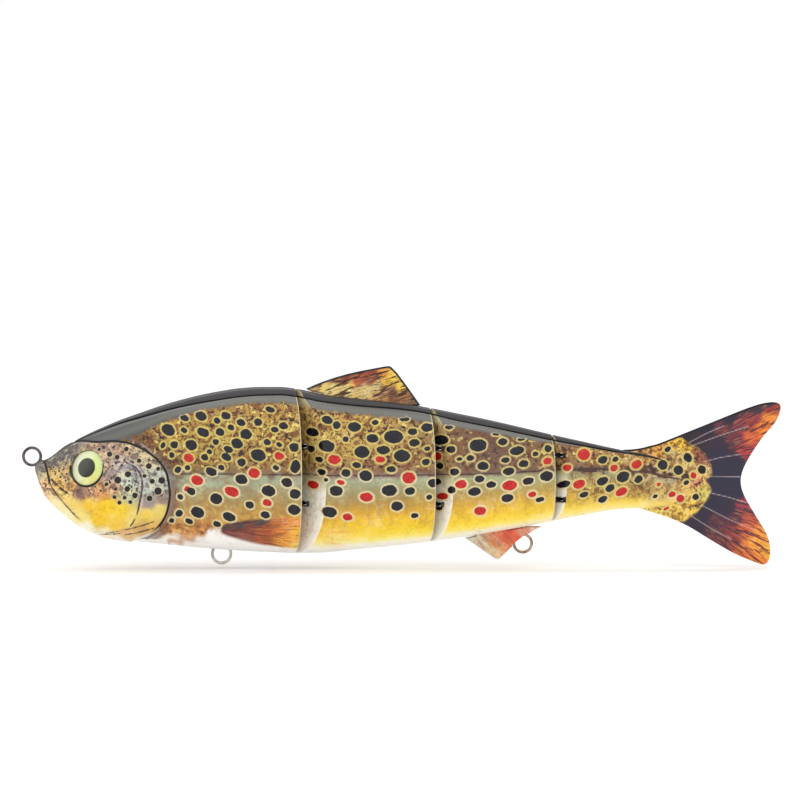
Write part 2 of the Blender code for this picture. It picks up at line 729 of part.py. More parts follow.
for joint_name in JOINT_X:
    make_hinge_eyes(joint_name, WIRE)
    make_pin(joint_name, WIRE)
for slug_name in BALLAST:
    make_ballast(slug_name, BALLAST_STEEL)
make_eyes(EYE_PRINT, EYE_CLEAR)
make_dorsal_fin(FIN_SKIN)
make_anal_fin(FIN_SKIN)
make_tail_fin(TAIL_SKIN)

hang_sections()
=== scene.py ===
"""Looks of a four-section hard swimbait printed like a brown trout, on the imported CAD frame.

The CAD frame is in metres: +X from nose to tail, +Z up, the fish's left side at -Y. Dimensions named here are
in millimetres unless they go straight to Blender.
"""

import math

import bmesh
import bpy
import numpy as np
from mathutils import Matrix, Vector
from mathutils.geometry import delaunay_2d_cdt


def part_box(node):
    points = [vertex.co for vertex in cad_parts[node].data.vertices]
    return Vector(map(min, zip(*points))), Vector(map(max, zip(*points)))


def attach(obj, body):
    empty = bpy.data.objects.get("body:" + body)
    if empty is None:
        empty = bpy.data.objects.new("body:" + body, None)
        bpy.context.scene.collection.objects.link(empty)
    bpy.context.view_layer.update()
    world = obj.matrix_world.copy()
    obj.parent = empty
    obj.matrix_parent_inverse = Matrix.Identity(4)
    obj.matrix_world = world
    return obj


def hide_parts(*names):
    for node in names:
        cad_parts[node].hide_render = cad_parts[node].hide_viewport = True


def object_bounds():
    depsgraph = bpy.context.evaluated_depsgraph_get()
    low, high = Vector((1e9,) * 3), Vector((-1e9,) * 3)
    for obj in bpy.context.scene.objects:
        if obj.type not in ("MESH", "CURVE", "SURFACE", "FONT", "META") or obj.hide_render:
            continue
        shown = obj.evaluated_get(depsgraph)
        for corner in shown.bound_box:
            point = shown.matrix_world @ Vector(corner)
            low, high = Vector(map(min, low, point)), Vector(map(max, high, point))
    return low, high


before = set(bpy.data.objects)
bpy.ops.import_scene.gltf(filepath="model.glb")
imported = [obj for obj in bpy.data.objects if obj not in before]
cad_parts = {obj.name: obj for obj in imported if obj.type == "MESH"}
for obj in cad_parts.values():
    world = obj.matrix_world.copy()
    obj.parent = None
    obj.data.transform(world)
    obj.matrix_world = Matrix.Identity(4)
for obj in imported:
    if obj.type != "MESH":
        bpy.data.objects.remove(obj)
cad_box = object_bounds()

MM = 0.001

# --- the body's lines, as (distance along the fish, height, half width or depth) -------------------------

BACK = [
    (1.2, -3.9), (2.0, -2.7), (3.5, -1.7), (6.0, -1.0), (9.3, 1.1), (12.8, 3.9), (16.9, 6.2),
    (25.4, 10.4), (35.5, 14.7), (43.6, 17.6), (51.7, 20.4), (59.8, 22.8), (67.8, 24.8), (75.9, 26.4),
    (84.0, 27.6), (92.0, 28.1), (100.1, 28.1), (108.2, 27.1), (116.3, 25.4), (129.6, 23.7),
    (148.6, 21.6), (160.7, 19.6), (172.8, 17.2), (184.9, 14.7), (197.0, 11.9), (209.2, 9.0),
    (221.3, 6.3), (237.4, 2.8), (247.0, 1.2), (256.4, -1.4), (265.0, -5.6), (268.0, -7.4),
]
BELLY = [
    (1.2, -5.4), (2.0, -8.2), (3.2, -12.0), (4.2, -14.3), (6.0, -17.2), (8.5, -19.9), (11.3, -22.4),
    (15.3, -25.7), (19.4, -28.5), (27.5, -31.9), (35.5, -33.6), (43.6, -34.4), (59.8, -36.1),
    (75.9, -37.6), (92.0, -38.5), (108.2, -39.0), (116.3, -38.9), (129.6, -37.7), (148.6, -35.9),
    (172.8, -32.8), (197.0, -28.7), (221.3, -24.0), (237.4, -21.3), (247.0, -20.9), (256.4, -20.0),
    (265.0, -16.0), (268.0, -13.8),
]
HALF_WIDTH = [
    (1.2, 1.3), (2.0, 2.2), (4.0, 3.6), (7.3, 5.3), (11.0, 7.1), (15.3, 9.0), (20.0, 10.8),
    (25.0, 12.5), (30.0, 13.8), (38.0, 15.3), (50.0, 16.4), (65.0, 16.9), (84.0, 17.0), (108.0, 16.2),
    (130.0, 14.9), (150.0, 13.4), (163.0, 12.3), (185.0, 10.3), (209.0, 8.1), (225.0, 6.6),
    (240.0, 4.7), (250.0, 3.2), (258.0, 2.0), (264.0, 1.2), (268.0, 0.85),
]
CREASE_DEPTH = [
    (1.2, 0.25), (10.0, 0.4), (20.0, 0.6), (35.0, 1.3), (52.0, 2.3), (80.0, 3.3), (103.0, 3.0), (130.0, 2.8),
    (158.0, 2.2), (172.0, 2.7), (209.0, 2.1), (229.0, 1.4), (245.0, 0.8), (268.0, 0.4),
]
BAND_DEPTH = [
    (1.2, 0.5), (14.0, 3.0), (26.0, 7.0), (36.0, 8.0), (46.0, 6.6), (56.0, 4.6), (70.0, 3.4), (100.0, 3.5),
    (130.0, 3.9), (158.0, 4.0), (168.0, 3.2), (200.0, 2.2), (212.0, 1.1), (226.0, 0.4), (268.0, 0.1),
]
LATERAL = [
    (1.2, -6.0), (60.0, -6.3), (109.0, -6.8), (135.0, -7.2), (160.0, -7.0), (187.0, -6.5), (210.0, -5.2),
    (228.0, -4.6), (241.0, -5.7), (248.0, -6.3), (255.6, -8.1), (268.0, -10.0),
]
NOSE_X, BODY_END_X = 1.2, 267.4
SEAM = 0.1
WIDEST_AT = 0.47
BELLY_POWER = 2.3
RIDGE_SHARE = 0.27
LAST_ANGLE = math.acos(RIDGE_SHARE)

JOINT_X = {"front": 108.9, "middle": 163.3, "rear": 212.5}
EYE_HEIGHTS = {"front": (4.2, -18.8), "middle": (3.4, -19.2), "rear": (0.6, -17.2)}
NOSE_RADIUS, JOINT_GAP = 2.4, 0.35
WEDGE_ANGLE, SOCKET_ANGLE = math.radians(40), math.radians(12)
SLIT_HEIGHT, SLIT_REACH, SLIT_AHEAD = 2.1, 2.9, 5
SLIT_INNER, PAST_THE_SKIN = 1.5, 25
LOOP_ROOM_HALF, LOOP_ROOM_RADIUS, BORE_RADIUS = 0.75, 2.4, 0.9
FIT_GAP = 0.3
WIRE_RADIUS, ANCHOR_RADIUS, POCKET_GAP = 0.6, 1.9, 0.15
# Each wire eye outside: its (x, z), the angle towards its anchor, the distance to that, the loop's radius.
OUTSIDE_EYES = {
    "line_tie": ((0.0, 0.0), math.radians(-25), 12.0, 3.5),
    "front_hook_hanger": ((76.5, -39.3), math.radians(90), 8.0, 3.75),
    "rear_hook_hanger": ((198.2, -35.1), math.radians(94), 11.2, 3.6),
}
EYE_X, EYE_Z = 22.6, -4.0
EYE_FORWARD, EYE_UP = math.radians(28), math.radians(13)
EYE_RADIUS, EYE_SOCKET_GAP = 7.1, 0.15
EYE_SEAT_DEPTH, DISC_HALF, EYE_SIDES = 0.62, 0.3, 96
LENS_EDGE, LENS_RISE = 0.5, 1.5
DORSAL_HALF, ANAL_HALF, TAIL_HALF = 1.0, 1.5, 0.6
DORSAL_SPAN, ANAL_SPAN, TAIL_SPAN = (116.7, 154.3), (178.7, 192.3), (237.0, 280)
FIN_GAP, TAIL_FIN_GAP = 0.06, 0.05
FAR = 4.0  # the distance kept where nothing of a kind is near


def smooth_curve(points):
    """A function of x that runs smoothly through these points and never overshoots them."""
    xs, ys = np.array(points, float).T
    steps = np.diff(xs)
    slopes = np.diff(ys) / steps
    tangents = np.concatenate([slopes[:1], np.zeros(len(xs) - 2), slopes[-1:]])
    turning = slopes[:-1] * slopes[1:] > 0
    both = np.where(turning, slopes[:-1] + slopes[1:], 1.0)
    tangents[1:-1] = np.where(turning, 2 * slopes[:-1] * slopes[1:] / both, 0.0)

    def at(x):
        x = np.clip(x, xs[0], xs[-1])
        i = np.clip(np.searchsorted(xs, x) - 1, 0, len(xs) - 2)
        t = (x - xs[i]) / steps[i]
        rise = (3 - 2 * t) * t * t
        bow = steps[i] * t * (1 - t) * (tangents[i] * (1 - t) - tangents[i + 1] * t)
        return ys[i] + (ys[i + 1] - ys[i]) * rise + bow

    return at


back, belly, half_width = smooth_curve(BACK), smooth_curve(BELLY), smooth_curve(HALF_WIDTH)
crease_depth, band_depth, lateral = (smooth_curve(points) for points in (CREASE_DEPTH, BAND_DEPTH, LATERAL))


def even_angles(first, last, across, up, power, count):
    """Angles that cut a curve (across cos, up sin) into even lengths."""
    angles = np.linspace(first, last, 4000)
    ys = across * np.maximum(np.cos(angles), 0) ** (2 / power)
    zs = up * np.sin(angles) ** (2 / power)
    lengths = np.concatenate([[0], np.cumsum(np.hypot(np.diff(ys), np.diff(zs)))])
    return np.interp(np.linspace(0, lengths[-1], count), lengths, angles)


def skin_point(x, zones, angles, inset=0.0):
    """(y, z) of the skin at x. zones says for each row: 0 belly, 1 flank, 2 crown of the back."""
    low, high = belly(x) + inset, back(x) - inset
    half = half_width(x) - inset
    drop = np.minimum(crease_depth(x), 0.3 * (high - low))
    widest = low + WIDEST_AT * (high - low)
    cos, sin = np.maximum(np.cos(angles), 0), np.sin(angles)
    reach = (high - drop - widest) / math.sin(LAST_ANGLE)
    ys = np.choose(zones, [half * cos ** (2 / BELLY_POWER), half * cos, RIDGE_SHARE * half * cos**0.8])
    zs = np.choose(zones, [
        widest - (widest - low) * sin ** (2 / BELLY_POWER), widest + reach * sin, high - drop + drop * sin,
    ])
    return ys, zs


def end_face_x(joint, y, radius, angle):
    """x of an end face: round about the pin in the middle, then flat and leaning back at this angle."""
    y = np.abs(y)
    round_part = JOINT_X[joint] - np.sqrt(np.maximum(radius**2 - y**2, 0))
    face = JOINT_X[joint] - radius / math.cos(angle) + y * math.tan(angle)
    return np.where(y < radius * math.sin(angle), round_part, face)


def nose_x(joint, y):
    return end_face_x(joint, y, NOSE_RADIUS, WEDGE_ANGLE)


def socket_x(joint, y):
    return end_face_x(joint, y, NOSE_RADIUS + JOINT_GAP, SOCKET_ANGLE)


# --- distances and colours on the side view --------------------------------------------------------------


def smooth_step(value, low, high):
    """0 below low, 1 above high."""
    t = np.clip((value - low) / (high - low), 0, 1)
    return t * t * (3 - 2 * t)


def bell(distance, width):
    """1 at no distance, and next to nothing at twice this width."""
    return np.exp(-((distance / width) ** 2))


def spline(points, each=6, closed=False):
    """A round curve through these points, as a polyline."""
    p = np.array(points, float)
    ends = (p[-1:], p[:2]) if closed else (2 * p[:1] - p[1:2], 2 * p[-1:] - p[-2:-1])
    p = np.concatenate([ends[0], p, ends[1]])
    out = []
    for a, b, c, d in zip(p, p[1:], p[2:], p[3:]):
        for t in np.arange(each) / each:
            bend, twist = (2 * a - 5 * b + 4 * c - d) * t**2, (3 * b - a - 3 * c + d) * t**3
            out.append(0.5 * (2 * b + (c - a) * t + bend + twist))
    if not closed:
        out.append(p[-2])
    return np.array(out)


WAVES = np.random.default_rng(11).uniform(-1, 1, (9, 3))


def ripple(x, z, size):
    """Uneven waves of about this size over the side view, between about -1 and 1."""
    total = np.zeros(np.shape(x))
    for a, b, c in WAVES:
        length = size * (0.7 + 0.6 * abs(c))
        turn = 2 * math.pi * c + 1.7 * np.sin(0.35 * (a * x - b * z) / size)
        total += np.sin((a * x + b * z) * 5.2 / length + turn)
    return total / 3.2


def to_line(x, z, line):
    """Distance from each point to a polyline."""
    best = np.full(x.shape, 1e9)
    for (ax, az), (bx, bz) in zip(line, line[1:]):
        dx, dz = bx - ax, bz - az
        t = np.clip(((x - ax) * dx + (z - az) * dz) / max(dx * dx + dz * dz, 1e-12), 0, 1)
        best = np.minimum(best, (x - ax - t * dx) ** 2 + (z - az - t * dz) ** 2)
    return np.sqrt(best)


def inside_of(x, z, loop):
    found = np.zeros(x.shape, bool)
    for (ax, az), (bx, bz) in zip(loop, np.roll(loop, -1, axis=0)):
        if az == bz:
            continue
        crosses = (az > z) != (bz > z)
        found ^= crosses & (x < (bx - ax) * (z - az) / (bz - az) + ax)
    return found


def to_loop(x, z, loop):
    """Signed distance to a closed loop, negative inside."""
    gap = to_line(x, z, np.concatenate([loop, loop[:1]]))
    return np.where(inside_of(x, z, loop), -gap, gap)


def to_ellipses(x, z, spots):
    """Signed distance to the nearest of these (x, z, length, height) spots, whose tilt follows the body."""
    best = np.full(x.shape, FAR)
    for cx, cz, length, height in spots:
        near = np.abs(x - cx) + np.abs(z - cz) < 14
        if not near.any():
            continue
        tilt = math.radians(np.interp(cx, SPOT_TILT[0], SPOT_TILT[1]))
        dx, dz = x[near] - cx, z[near] - cz
        along = (dx * math.cos(tilt) + dz * math.sin(tilt)) / (length / 2)
        across = (dz * math.cos(tilt) - dx * math.sin(tilt)) / (height / 2)
        q = np.maximum(np.hypot(along, across), 0.05)
        gap = (q - 1) * np.hypot(dx, dz) / q
        gap = np.where(q <= 0.06, -min(length, height) / 2, gap)
        best[near] = np.minimum(best[near], gap)
    return best


def linear(colour):
    c = np.array(colour, float) / 255
    return np.where(c <= 0.04045, c / 12.92, ((c + 0.055) / 1.055) ** 2.4)


def blend_anchors(x, z, anchors, reach):
    """Colours spread smoothly out from (x, z, colour) anchors."""
    total, weight = np.zeros((*x.shape, 3)), np.zeros(x.shape)
    for ax, az, colour in anchors:
        near = 1 / (((x - ax) ** 2 + (z - az) ** 2) / reach**2 + 0.08) ** 2.2
        total += near[..., None] * np.array(colour, float)
        weight += near
    return total / weight[..., None]


def lay(base, colour, weight):
    """base with this colour over it, as strongly as weight says."""
    base = np.asarray(base, float)
    return base + (np.array(colour, float) - base) * np.clip(weight, 0, 1)[..., None]


# Spots are (x, z, length, height) and dots (x, z, width). SPOT_TILT is x and the spots' tilt there in degrees.
SPOT_TILT = ((50, 110, 150, 200, 240), (-30, -15, 0, 10, 30))
DARK_SPOTS = [
    (55.6, 11.1, 5.8, 4.4), (62.1, 15.9, 3.8, 2.5), (68.7, 16.6, 4.8, 3.5), (69.8, 10.2, 5.3, 3.4),
    (62.0, 11.0, 3.0, 2.2), (65.0, 5.1, 5.0, 4.0), (58.1, 5.3, 3.3, 3.0), (53.6, 5.0, 1.8, 2.8),
    (57.2, 1.1, 2.4, 2.3), (59.7, -4.7, 2.5, 3.0), (63.5, -3.8, 2.4, 2.2), (75.3, 14.8, 3.0, 2.3),
    (78.7, 16.8, 4.0, 2.9), (76.6, 10.3, 3.8, 3.0), (80.8, 12.2, 2.8, 2.4), (84.9, 14.1, 3.8, 2.8),
    (86.9, 9.5, 5.0, 4.0), (83.4, 5.8, 4.7, 4.0), (74.8, 6.4, 2.6, 2.5), (79.8, 3.5, 3.8, 2.6),
    (79.1, 0.4, 4.4, 2.8), (70.5, 0.3, 3.0, 2.6), (72.2, 2.5, 2.5, 2.0), (85.2, -1.7, 3.5, 3.2),
    (91.9, 1.2, 6.2, 4.6), (91.7, 14.2, 3.3, 3.0), (96.4, 19.3, 3.9, 2.3), (101.9, 12.7, 3.8, 2.8),
    (98.4, 11.3, 3.2, 2.2), (95.4, 6.3, 3.0, 2.6), (100.2, 5.3, 2.5, 2.0), (106.2, 4.3, 3.8, 3.6),
    (106.7, -3.4, 4.0, 5.2), (98.9, -3.9, 2.8, 2.1), (73.0, -5.5, 4.8, 3.2), (85.2, -8.5, 5.3, 3.8),
    (103.3, -9.8, 4.6, 3.6), (96.0, -13.2, 5.6, 4.3), (75.1, -16.3, 5.0, 4.3), (88.4, -18.8, 3.6, 2.8),
    (106.6, -14.4, 4.4, 4.0), (106.2, -20.8, 5.2, 4.0), (94.6, -22.8, 3.8, 2.8), (67.5, -21.8, 5.6, 4.2),
    (60.1, -22.2, 2.8, 3.1), (64.0, -25.4, 3.4, 2.3), (80.2, -23.6, 5.3, 3.6), (75.3, -26.6, 3.4, 2.4),
    (57.1, -25.1, 2.0, 2.0), (60.7, -15.6, 2.6, 2.5), (65.0, -13.4, 3.6, 2.8), (77.1, -3.8, 2.6, 2.0),
    (119.4, 15.1, 4.5, 3.2), (123.2, 13.0, 3.2, 3.2), (130.3, 12.2, 5.3, 3.8), (138.6, 14.0, 2.8, 2.1),
    (113.4, 10.1, 5.2, 3.4), (119.2, 4.7, 6.6, 4.7), (112.8, 3.4, 3.4, 2.7), (126.8, 7.5, 2.5, 2.1),
    (137.6, 7.7, 4.8, 3.5), (146.0, 8.3, 7.6, 5.4), (153.7, 10.3, 3.9, 2.7), (154.4, 5.9, 4.2, 3.1),
    (133.4, 2.3, 6.0, 4.9), (141.9, 3.1, 5.3, 3.5), (149.4, 0.7, 6.8, 4.8), (159.5, 3.6, 2.8, 1.9),
    (159.0, -1.8, 3.2, 2.9), (159.5, 12.0, 5.0, 3.4), (150.4, 15.4, 4.2, 2.0), (116.2, -0.7, 3.4, 2.2),
    (117.2, -5.7, 3.6, 2.6), (119.0, -8.8, 1.6, 1.6), (127.0, -6.0, 3.8, 3.1), (131.2, -2.9, 3.6, 2.4),
    (134.9, -7.2, 5.2, 4.4), (145.1, -4.6, 3.8, 2.5), (123.1, -13.2, 5.4, 4.2), (144.4, -13.1, 6.3, 4.5),
    (152.6, -13.4, 4.2, 3.2), (147.4, -19.5, 4.7, 3.9), (120.3, -21.7, 6.2, 4.2), (154.5, -23.3, 3.0, 2.3),
    (160.3, -15.9, 2.5, 2.1), (161.9, -10.2, 4.2, 3.4), (165.0, 6.9, 6.2, 3.9), (169.1, 3.2, 3.6, 2.9),
    (168.4, 12.0, 3.6, 1.8), (180.0, 4.8, 7.0, 5.0), (176.9, -0.2, 3.2, 2.6), (172.4, -0.6, 2.4, 1.6),
    (181.9, -3.5, 4.5, 3.4), (170.5, -5.8, 3.8, 2.9), (180.6, -8.7, 4.0, 2.8), (189.9, 6.2, 3.8, 2.8),
    (195.7, 2.6, 5.8, 3.5), (190.9, -1.1, 3.6, 2.3), (198.4, -2.6, 4.0, 3.0), (203.2, 1.3, 2.6, 2.0),
    (192.3, -5.6, 4.8, 3.1), (185.2, -10.9, 4.0, 2.6), (178.5, -13.7, 5.4, 3.4), (169.3, -13.0, 3.4, 2.8),
    (191.8, -16.4, 5.0, 3.4), (200.2, -9.5, 4.6, 3.0), (207.5, -7.6, 5.4, 4.0), (204.9, -17.0, 3.6, 2.2),
    (187.5, 9.5, 3.6, 1.8), (197.5, 7.2, 3.6, 1.4), (208.3, 3.4, 3.2, 2.8), (164.6, -3.6, 2.8, 2.7),
    (163.7, -9.9, 3.0, 2.5), (164.3, -20.3, 2.8, 2.7), (214.4, -11.0, 5.8, 2.7), (222.6, -15.1, 3.8, 2.3),
    (230.3, -1.2, 3.8, 3.0), (235.4, -1.1, 2.6, 2.0), (230.1, -9.7, 4.8, 3.3), (238.5, -8.0, 5.4, 4.2),
    (233.2, -12.6, 4.0, 3.0), (244.7, -9.0, 3.5, 3.0), (230.3, -17.1, 4.0, 2.5), (254.5, -3.4, 4.0, 4.0),
    (261.0, -5.5, 3.8, 4.0), (264.8, -0.5, 3.3, 4.0), (270.5, -5.4, 3.3, 3.5), (256.7, 2.9, 3.0, 2.2),
    (264.1, -10.5, 2.4, 2.0), (268.0, -16.3, 2.6, 2.8), (251.6, -16.0, 2.4, 1.6),
]
CHEEK_DOTS = [
    (39.7, -6.5, 2.5), (35.6, -8.9, 2.9), (39.4, -12.4, 2.4), (42.5, -15.0, 2.4), (34.2, -15.7, 1.6),
    (38.3, -15.9, 1.7), (36.2, -17.9, 1.8), (40.6, -17.7, 1.7), (31.0, -10.6, 1.7), (44.2, -1.1, 1.9),
    (48.1, -3.2, 2.4), (51.8, -4.3, 1.8), (49.4, -9.3, 2.2), (53.3, -8.9, 2.8), (51.8, -13.2, 3.1),
    (48.3, -16.2, 2.5), (46.3, -7.1, 1.7), (38.9, 3.5, 2.0), (35.3, 0.2, 2.0), (32.2, 1.4, 2.2),
    (27.8, 3.3, 1.5), (9.2, -4.2, 0.9), (11.4, -5.6, 0.9), (13.2, -4.0, 0.8), (12.0, -8.0, 1.0),
    (14.6, -6.8, 1.0), (14.2, -9.4, 0.9), (33.4, -3.2, 1.1), (28.6, -13.2, 1.1), (26.4, -11.6, 0.9),
]
RED_SPOTS = [
    (64.0, 0.0, 4.2, 3.2), (67.4, -8.9, 5.0, 3.8), (63.3, -12.3, 2.0, 2.5), (81.3, -13.5, 6.0, 3.8),
    (90.3, -6.0, 4.6, 3.8), (100.3, 0.8, 3.8, 3.0), (95.3, -17.9, 3.9, 2.8), (122.3, -0.7, 5.0, 3.7),
    (113.6, -11.0, 4.8, 3.2), (124.9, -9.8, 3.4, 2.0), (140.7, -0.7, 4.0, 2.6), (135.2, -15.8, 5.4, 3.6),
    (152.1, -8.1, 5.2, 4.6), (127.6, -23.8, 4.0, 2.8), (163.7, 0.2, 3.4, 3.0), (165.7, -15.8, 4.6, 2.6),
    (173.1, -10.8, 4.7, 3.4), (192.7, -11.3, 6.0, 4.0), (201.8, -14.9, 3.2, 2.4), (207.9, -1.6, 3.6, 2.8),
    (180.8, -21.5, 4.8, 3.6), (222.7, 1.0, 4.9, 4.5), (215.9, -4.3, 3.4, 2.6), (220.7, -10.9, 4.8, 3.4),
    (234.8, -4.5, 3.0, 2.8), (244.0, -3.1, 4.5, 3.4), (237.8, -14.1, 5.0, 3.0), (252.9, -11.1, 1.8, 1.5),
    (258.4, -15.3, 3.2, 2.2), (261.8, -17.0, 3.4, 3.2), (267.2, -7.6, 2.5, 2.5), (256.1, -21.1, 2.6, 1.2),
]

GILL = spline([
    (16.8, 5.9), (20.6, 6.4), (26.6, 6.1), (34.4, 6.5), (40.8, 5.5), (47.1, 2.6), (52.0, -1.3),
    (55.0, -5.7), (56.2, -11.1), (56.4, -16.0), (55.0, -22.4), (52.0, -27.3), (47.6, -30.7), (41.8, -33.2),
])
FACE = np.concatenate([
    [(-4.0, -3.0), (5.0, -1.4), (10.0, 1.2), (15.0, 3.8)], GILL, [(36.0, -40.0), (-4.0, -40.0)],
])
CHEEK_LINE = spline([
    (38.6, -1.6), (42.4, -3.4), (44.9, -7.0), (45.4, -11.1), (44.7, -16.0), (43.2, -22.4), (39.8, -28.0),
    (34.0, -29.2), (27.1, -29.9),
])
MOUTH = spline([(7.0, -9.6), (9.6, -14.0), (13.7, -19.0), (18.0, -23.6), (22.7, -27.8)])
LIP = spline([(8.2, -9.0), (12.0, -12.6), (16.4, -15.6), (20.7, -20.4), (24.6, -24.4)])
SNOUT = spline([(4.6, -1.6), (5.8, -3.6), (6.6, -6.6), (7.4, -10.0)])
THROAT_LINES = [
    spline([(30.5, -30.6), (37.0, -29.4), (44.0, -27.6), (50.0, -25.6)], 4),
    spline([(38.0, -31.2), (44.0, -30.0), (50.0, -28.2)], 4),
    spline([(28.0, -31.2), (33.0, -31.0), (36.0, -30.6)], 4),
]
PECTORAL = spline([
    (77.2, -27.6), (80.0, -26.2), (88.0, -24.9), (95.9, -24.3), (108.7, -24.3), (110.5, -30.0),
    (108.4, -36.6), (100.0, -36.0), (91.9, -34.9), (84.0, -32.9), (77.4, -30.6),
], 4, closed=True)
BREAST = np.array([
    (50.0, -35.6), (60.0, -33.8), (66.0, -31.8), (70.0, -29.6), (75.0, -27.6), (80.0, -27.8), (92.0, -32.0),
    (112.0, -35.6), (112.0, -45.0), (50.0, -45.0),
])
TAIL_SMEARS = [
    np.array([(218.0, -5.0), (226.0, -5.6), (233.0, -5.0)]),
    np.array([(240.6, -4.6), (247.0, -5.4), (256.0, -8.4)]),
    np.array([(247.0, -4.0), (253.0, -5.2)]),
]
RIDGE_END = np.array([(240.0, 1.4), (245.0, 0.4), (250.0, -0.4), (256.4, -1.9)])

# Colours up the flank at four places along the fish: 0 is the belly, 0.5 the side line, 1 the crease.
FLANKS = {
    70: [
        (0.0, (254, 253, 250)), (0.07, (252, 246, 232)), (0.10, (238, 200, 138)), (0.14, (212, 152, 76)),
        (0.22, (190, 144, 66)), (0.31, (166, 140, 80)), (0.39, (150, 144, 106)), (0.47, (148, 156, 130)),
        (0.50, (118, 98, 72)), (0.56, (166, 134, 56)), (0.75, (192, 162, 62)), (0.9, (178, 138, 60)),
        (1.0, (136, 104, 62)),
    ],
    135: [
        (0.0, (252, 252, 250)), (0.035, (253, 249, 236)), (0.07, (250, 230, 116)), (0.11, (246, 212, 52)),
        (0.19, (238, 194, 34)), (0.25, (212, 162, 46)), (0.31, (176, 142, 68)), (0.38, (150, 140, 96)),
        (0.47, (152, 158, 130)), (0.50, (132, 98, 90)), (0.55, (166, 124, 78)), (0.64, (196, 160, 76)),
        (0.8, (212, 180, 84)), (1.0, (204, 158, 72)),
    ],
    185: [
        (0.0, (248, 245, 236)), (0.035, (248, 240, 208)), (0.07, (252, 228, 100)), (0.12, (246, 210, 50)),
        (0.2, (236, 190, 44)), (0.26, (208, 162, 54)), (0.34, (176, 146, 72)), (0.41, (156, 150, 92)),
        (0.47, (160, 164, 118)), (0.50, (108, 84, 74)), (0.56, (120, 94, 76)), (0.68, (112, 84, 70)),
        (0.85, (102, 76, 66)), (1.0, (100, 76, 66)),
    ],
    235: [
        (0.0, (246, 232, 160)), (0.07, (244, 214, 96)), (0.14, (226, 190, 66)), (0.25, (192, 160, 70)),
        (0.35, (166, 144, 78)), (0.45, (156, 142, 90)), (0.50, (112, 88, 70)), (0.58, (150, 116, 72)),
        (0.75, (184, 146, 76)), (0.92, (190, 146, 76)), (1.0, (160, 122, 74)),
    ],
}
FACE_COLOURS = [
    (3.5, -4.0, (122, 120, 112)), (3.2, -8.0, (190, 176, 140)), (5.0, -11.0, (246, 196, 140)),
    (6.6, -14.6, (244, 206, 150)), (10.0, -19.0, (244, 226, 170)), (15.0, -24.0, (240, 230, 176)),
    (22.0, -29.0, (244, 240, 214)), (9.0, -2.0, (112, 110, 104)), (14.0, 2.0, (104, 104, 100)),
    (22.0, 2.6, (150, 126, 100)),
    (19.0, 4.6, (136, 128, 122)), (25.0, 5.2, (186, 152, 118)), (31.0, 4.6, (170, 138, 120)),
    (38.0, 4.6, (178, 146, 118)), (44.0, 2.2, (186, 164, 128)), (9.0, -6.4, (208, 176, 100)),
    (11.0, -9.4, (226, 182, 92)), (14.0, -7.0, (196, 160, 104)), (16.0, -12.0, (206, 160, 88)),
    (20.0, -14.6, (152, 112, 96)), (24.0, -13.6, (166, 116, 84)), (29.0, -13.6, (214, 146, 70)),
    (33.0, -12.0, (196, 152, 112)), (31.0, -2.0, (184, 158, 132)), (33.0, -7.0, (150, 128, 124)),
    (36.0, -3.0, (176, 164, 160)), (37.4, -8.0, (194, 198, 178)), (41.0, -10.0, (184, 196, 180)),
    (41.6, -5.2, (142, 142, 146)), (44.0, 0.0, (184, 168, 140)), (48.6, -0.8, (196, 184, 140)),
    (50.4, -6.8, (184, 192, 176)), (51.6, -11.0, (170, 182, 168)), (53.4, -16.6, (150, 130, 118)),
    (48.0, -18.0, (150, 134, 132)), (47.6, -12.0, (166, 176, 168)), (24.0, -18.6, (236, 190, 44)),
    (31.0, -19.6, (240, 200, 26)), (37.0, -21.6, (240, 202, 52)), (28.0, -24.6, (238, 194, 40)),
    (35.0, -26.4, (236, 192, 50)), (40.0, -14.4, (186, 190, 150)), (41.0, -24.0, (232, 206, 110)),
    (47.4, -22.6, (232, 200, 82)), (52.6, -20.6, (222, 196, 96)), (50.0, -27.4, (222, 182, 96)),
    (45.0, -29.6, (204, 160, 96)), (38.0, -31.0, (226, 184, 122)), (30.0, -31.6, (246, 232, 200)),
    (18.0, -18.6, (232, 200, 96)), (14.0, -15.4, (240, 206, 110)), (20.0, -23.4, (236, 214, 120)),
    (45.0, -33.6, (248, 224, 190)), (24.0, -33.4, (252, 250, 246)), (36.0, -34.0, (250, 244, 236)),
]
PECTORAL_COLOURS = [
    (79.0, -27.6, (62, 54, 60)), (85.0, -26.2, (58, 58, 68)), (93.0, -25.6, (74, 66, 66)),
    (100.0, -25.8, (196, 104, 52)), (107.0, -25.4, (226, 140, 58)), (80.0, -29.8, (128, 66, 62)),
    (87.0, -29.0, (134, 64, 52)), (94.0, -28.6, (168, 78, 46)), (101.0, -29.6, (214, 120, 48)),
    (107.6, -30.0, (240, 182, 62)), (86.0, -32.0, (146, 86, 72)), (94.0, -32.6, (178, 92, 54)),
    (102.0, -33.4, (232, 158, 60)), (108.0, -34.4, (248, 206, 96)),
]
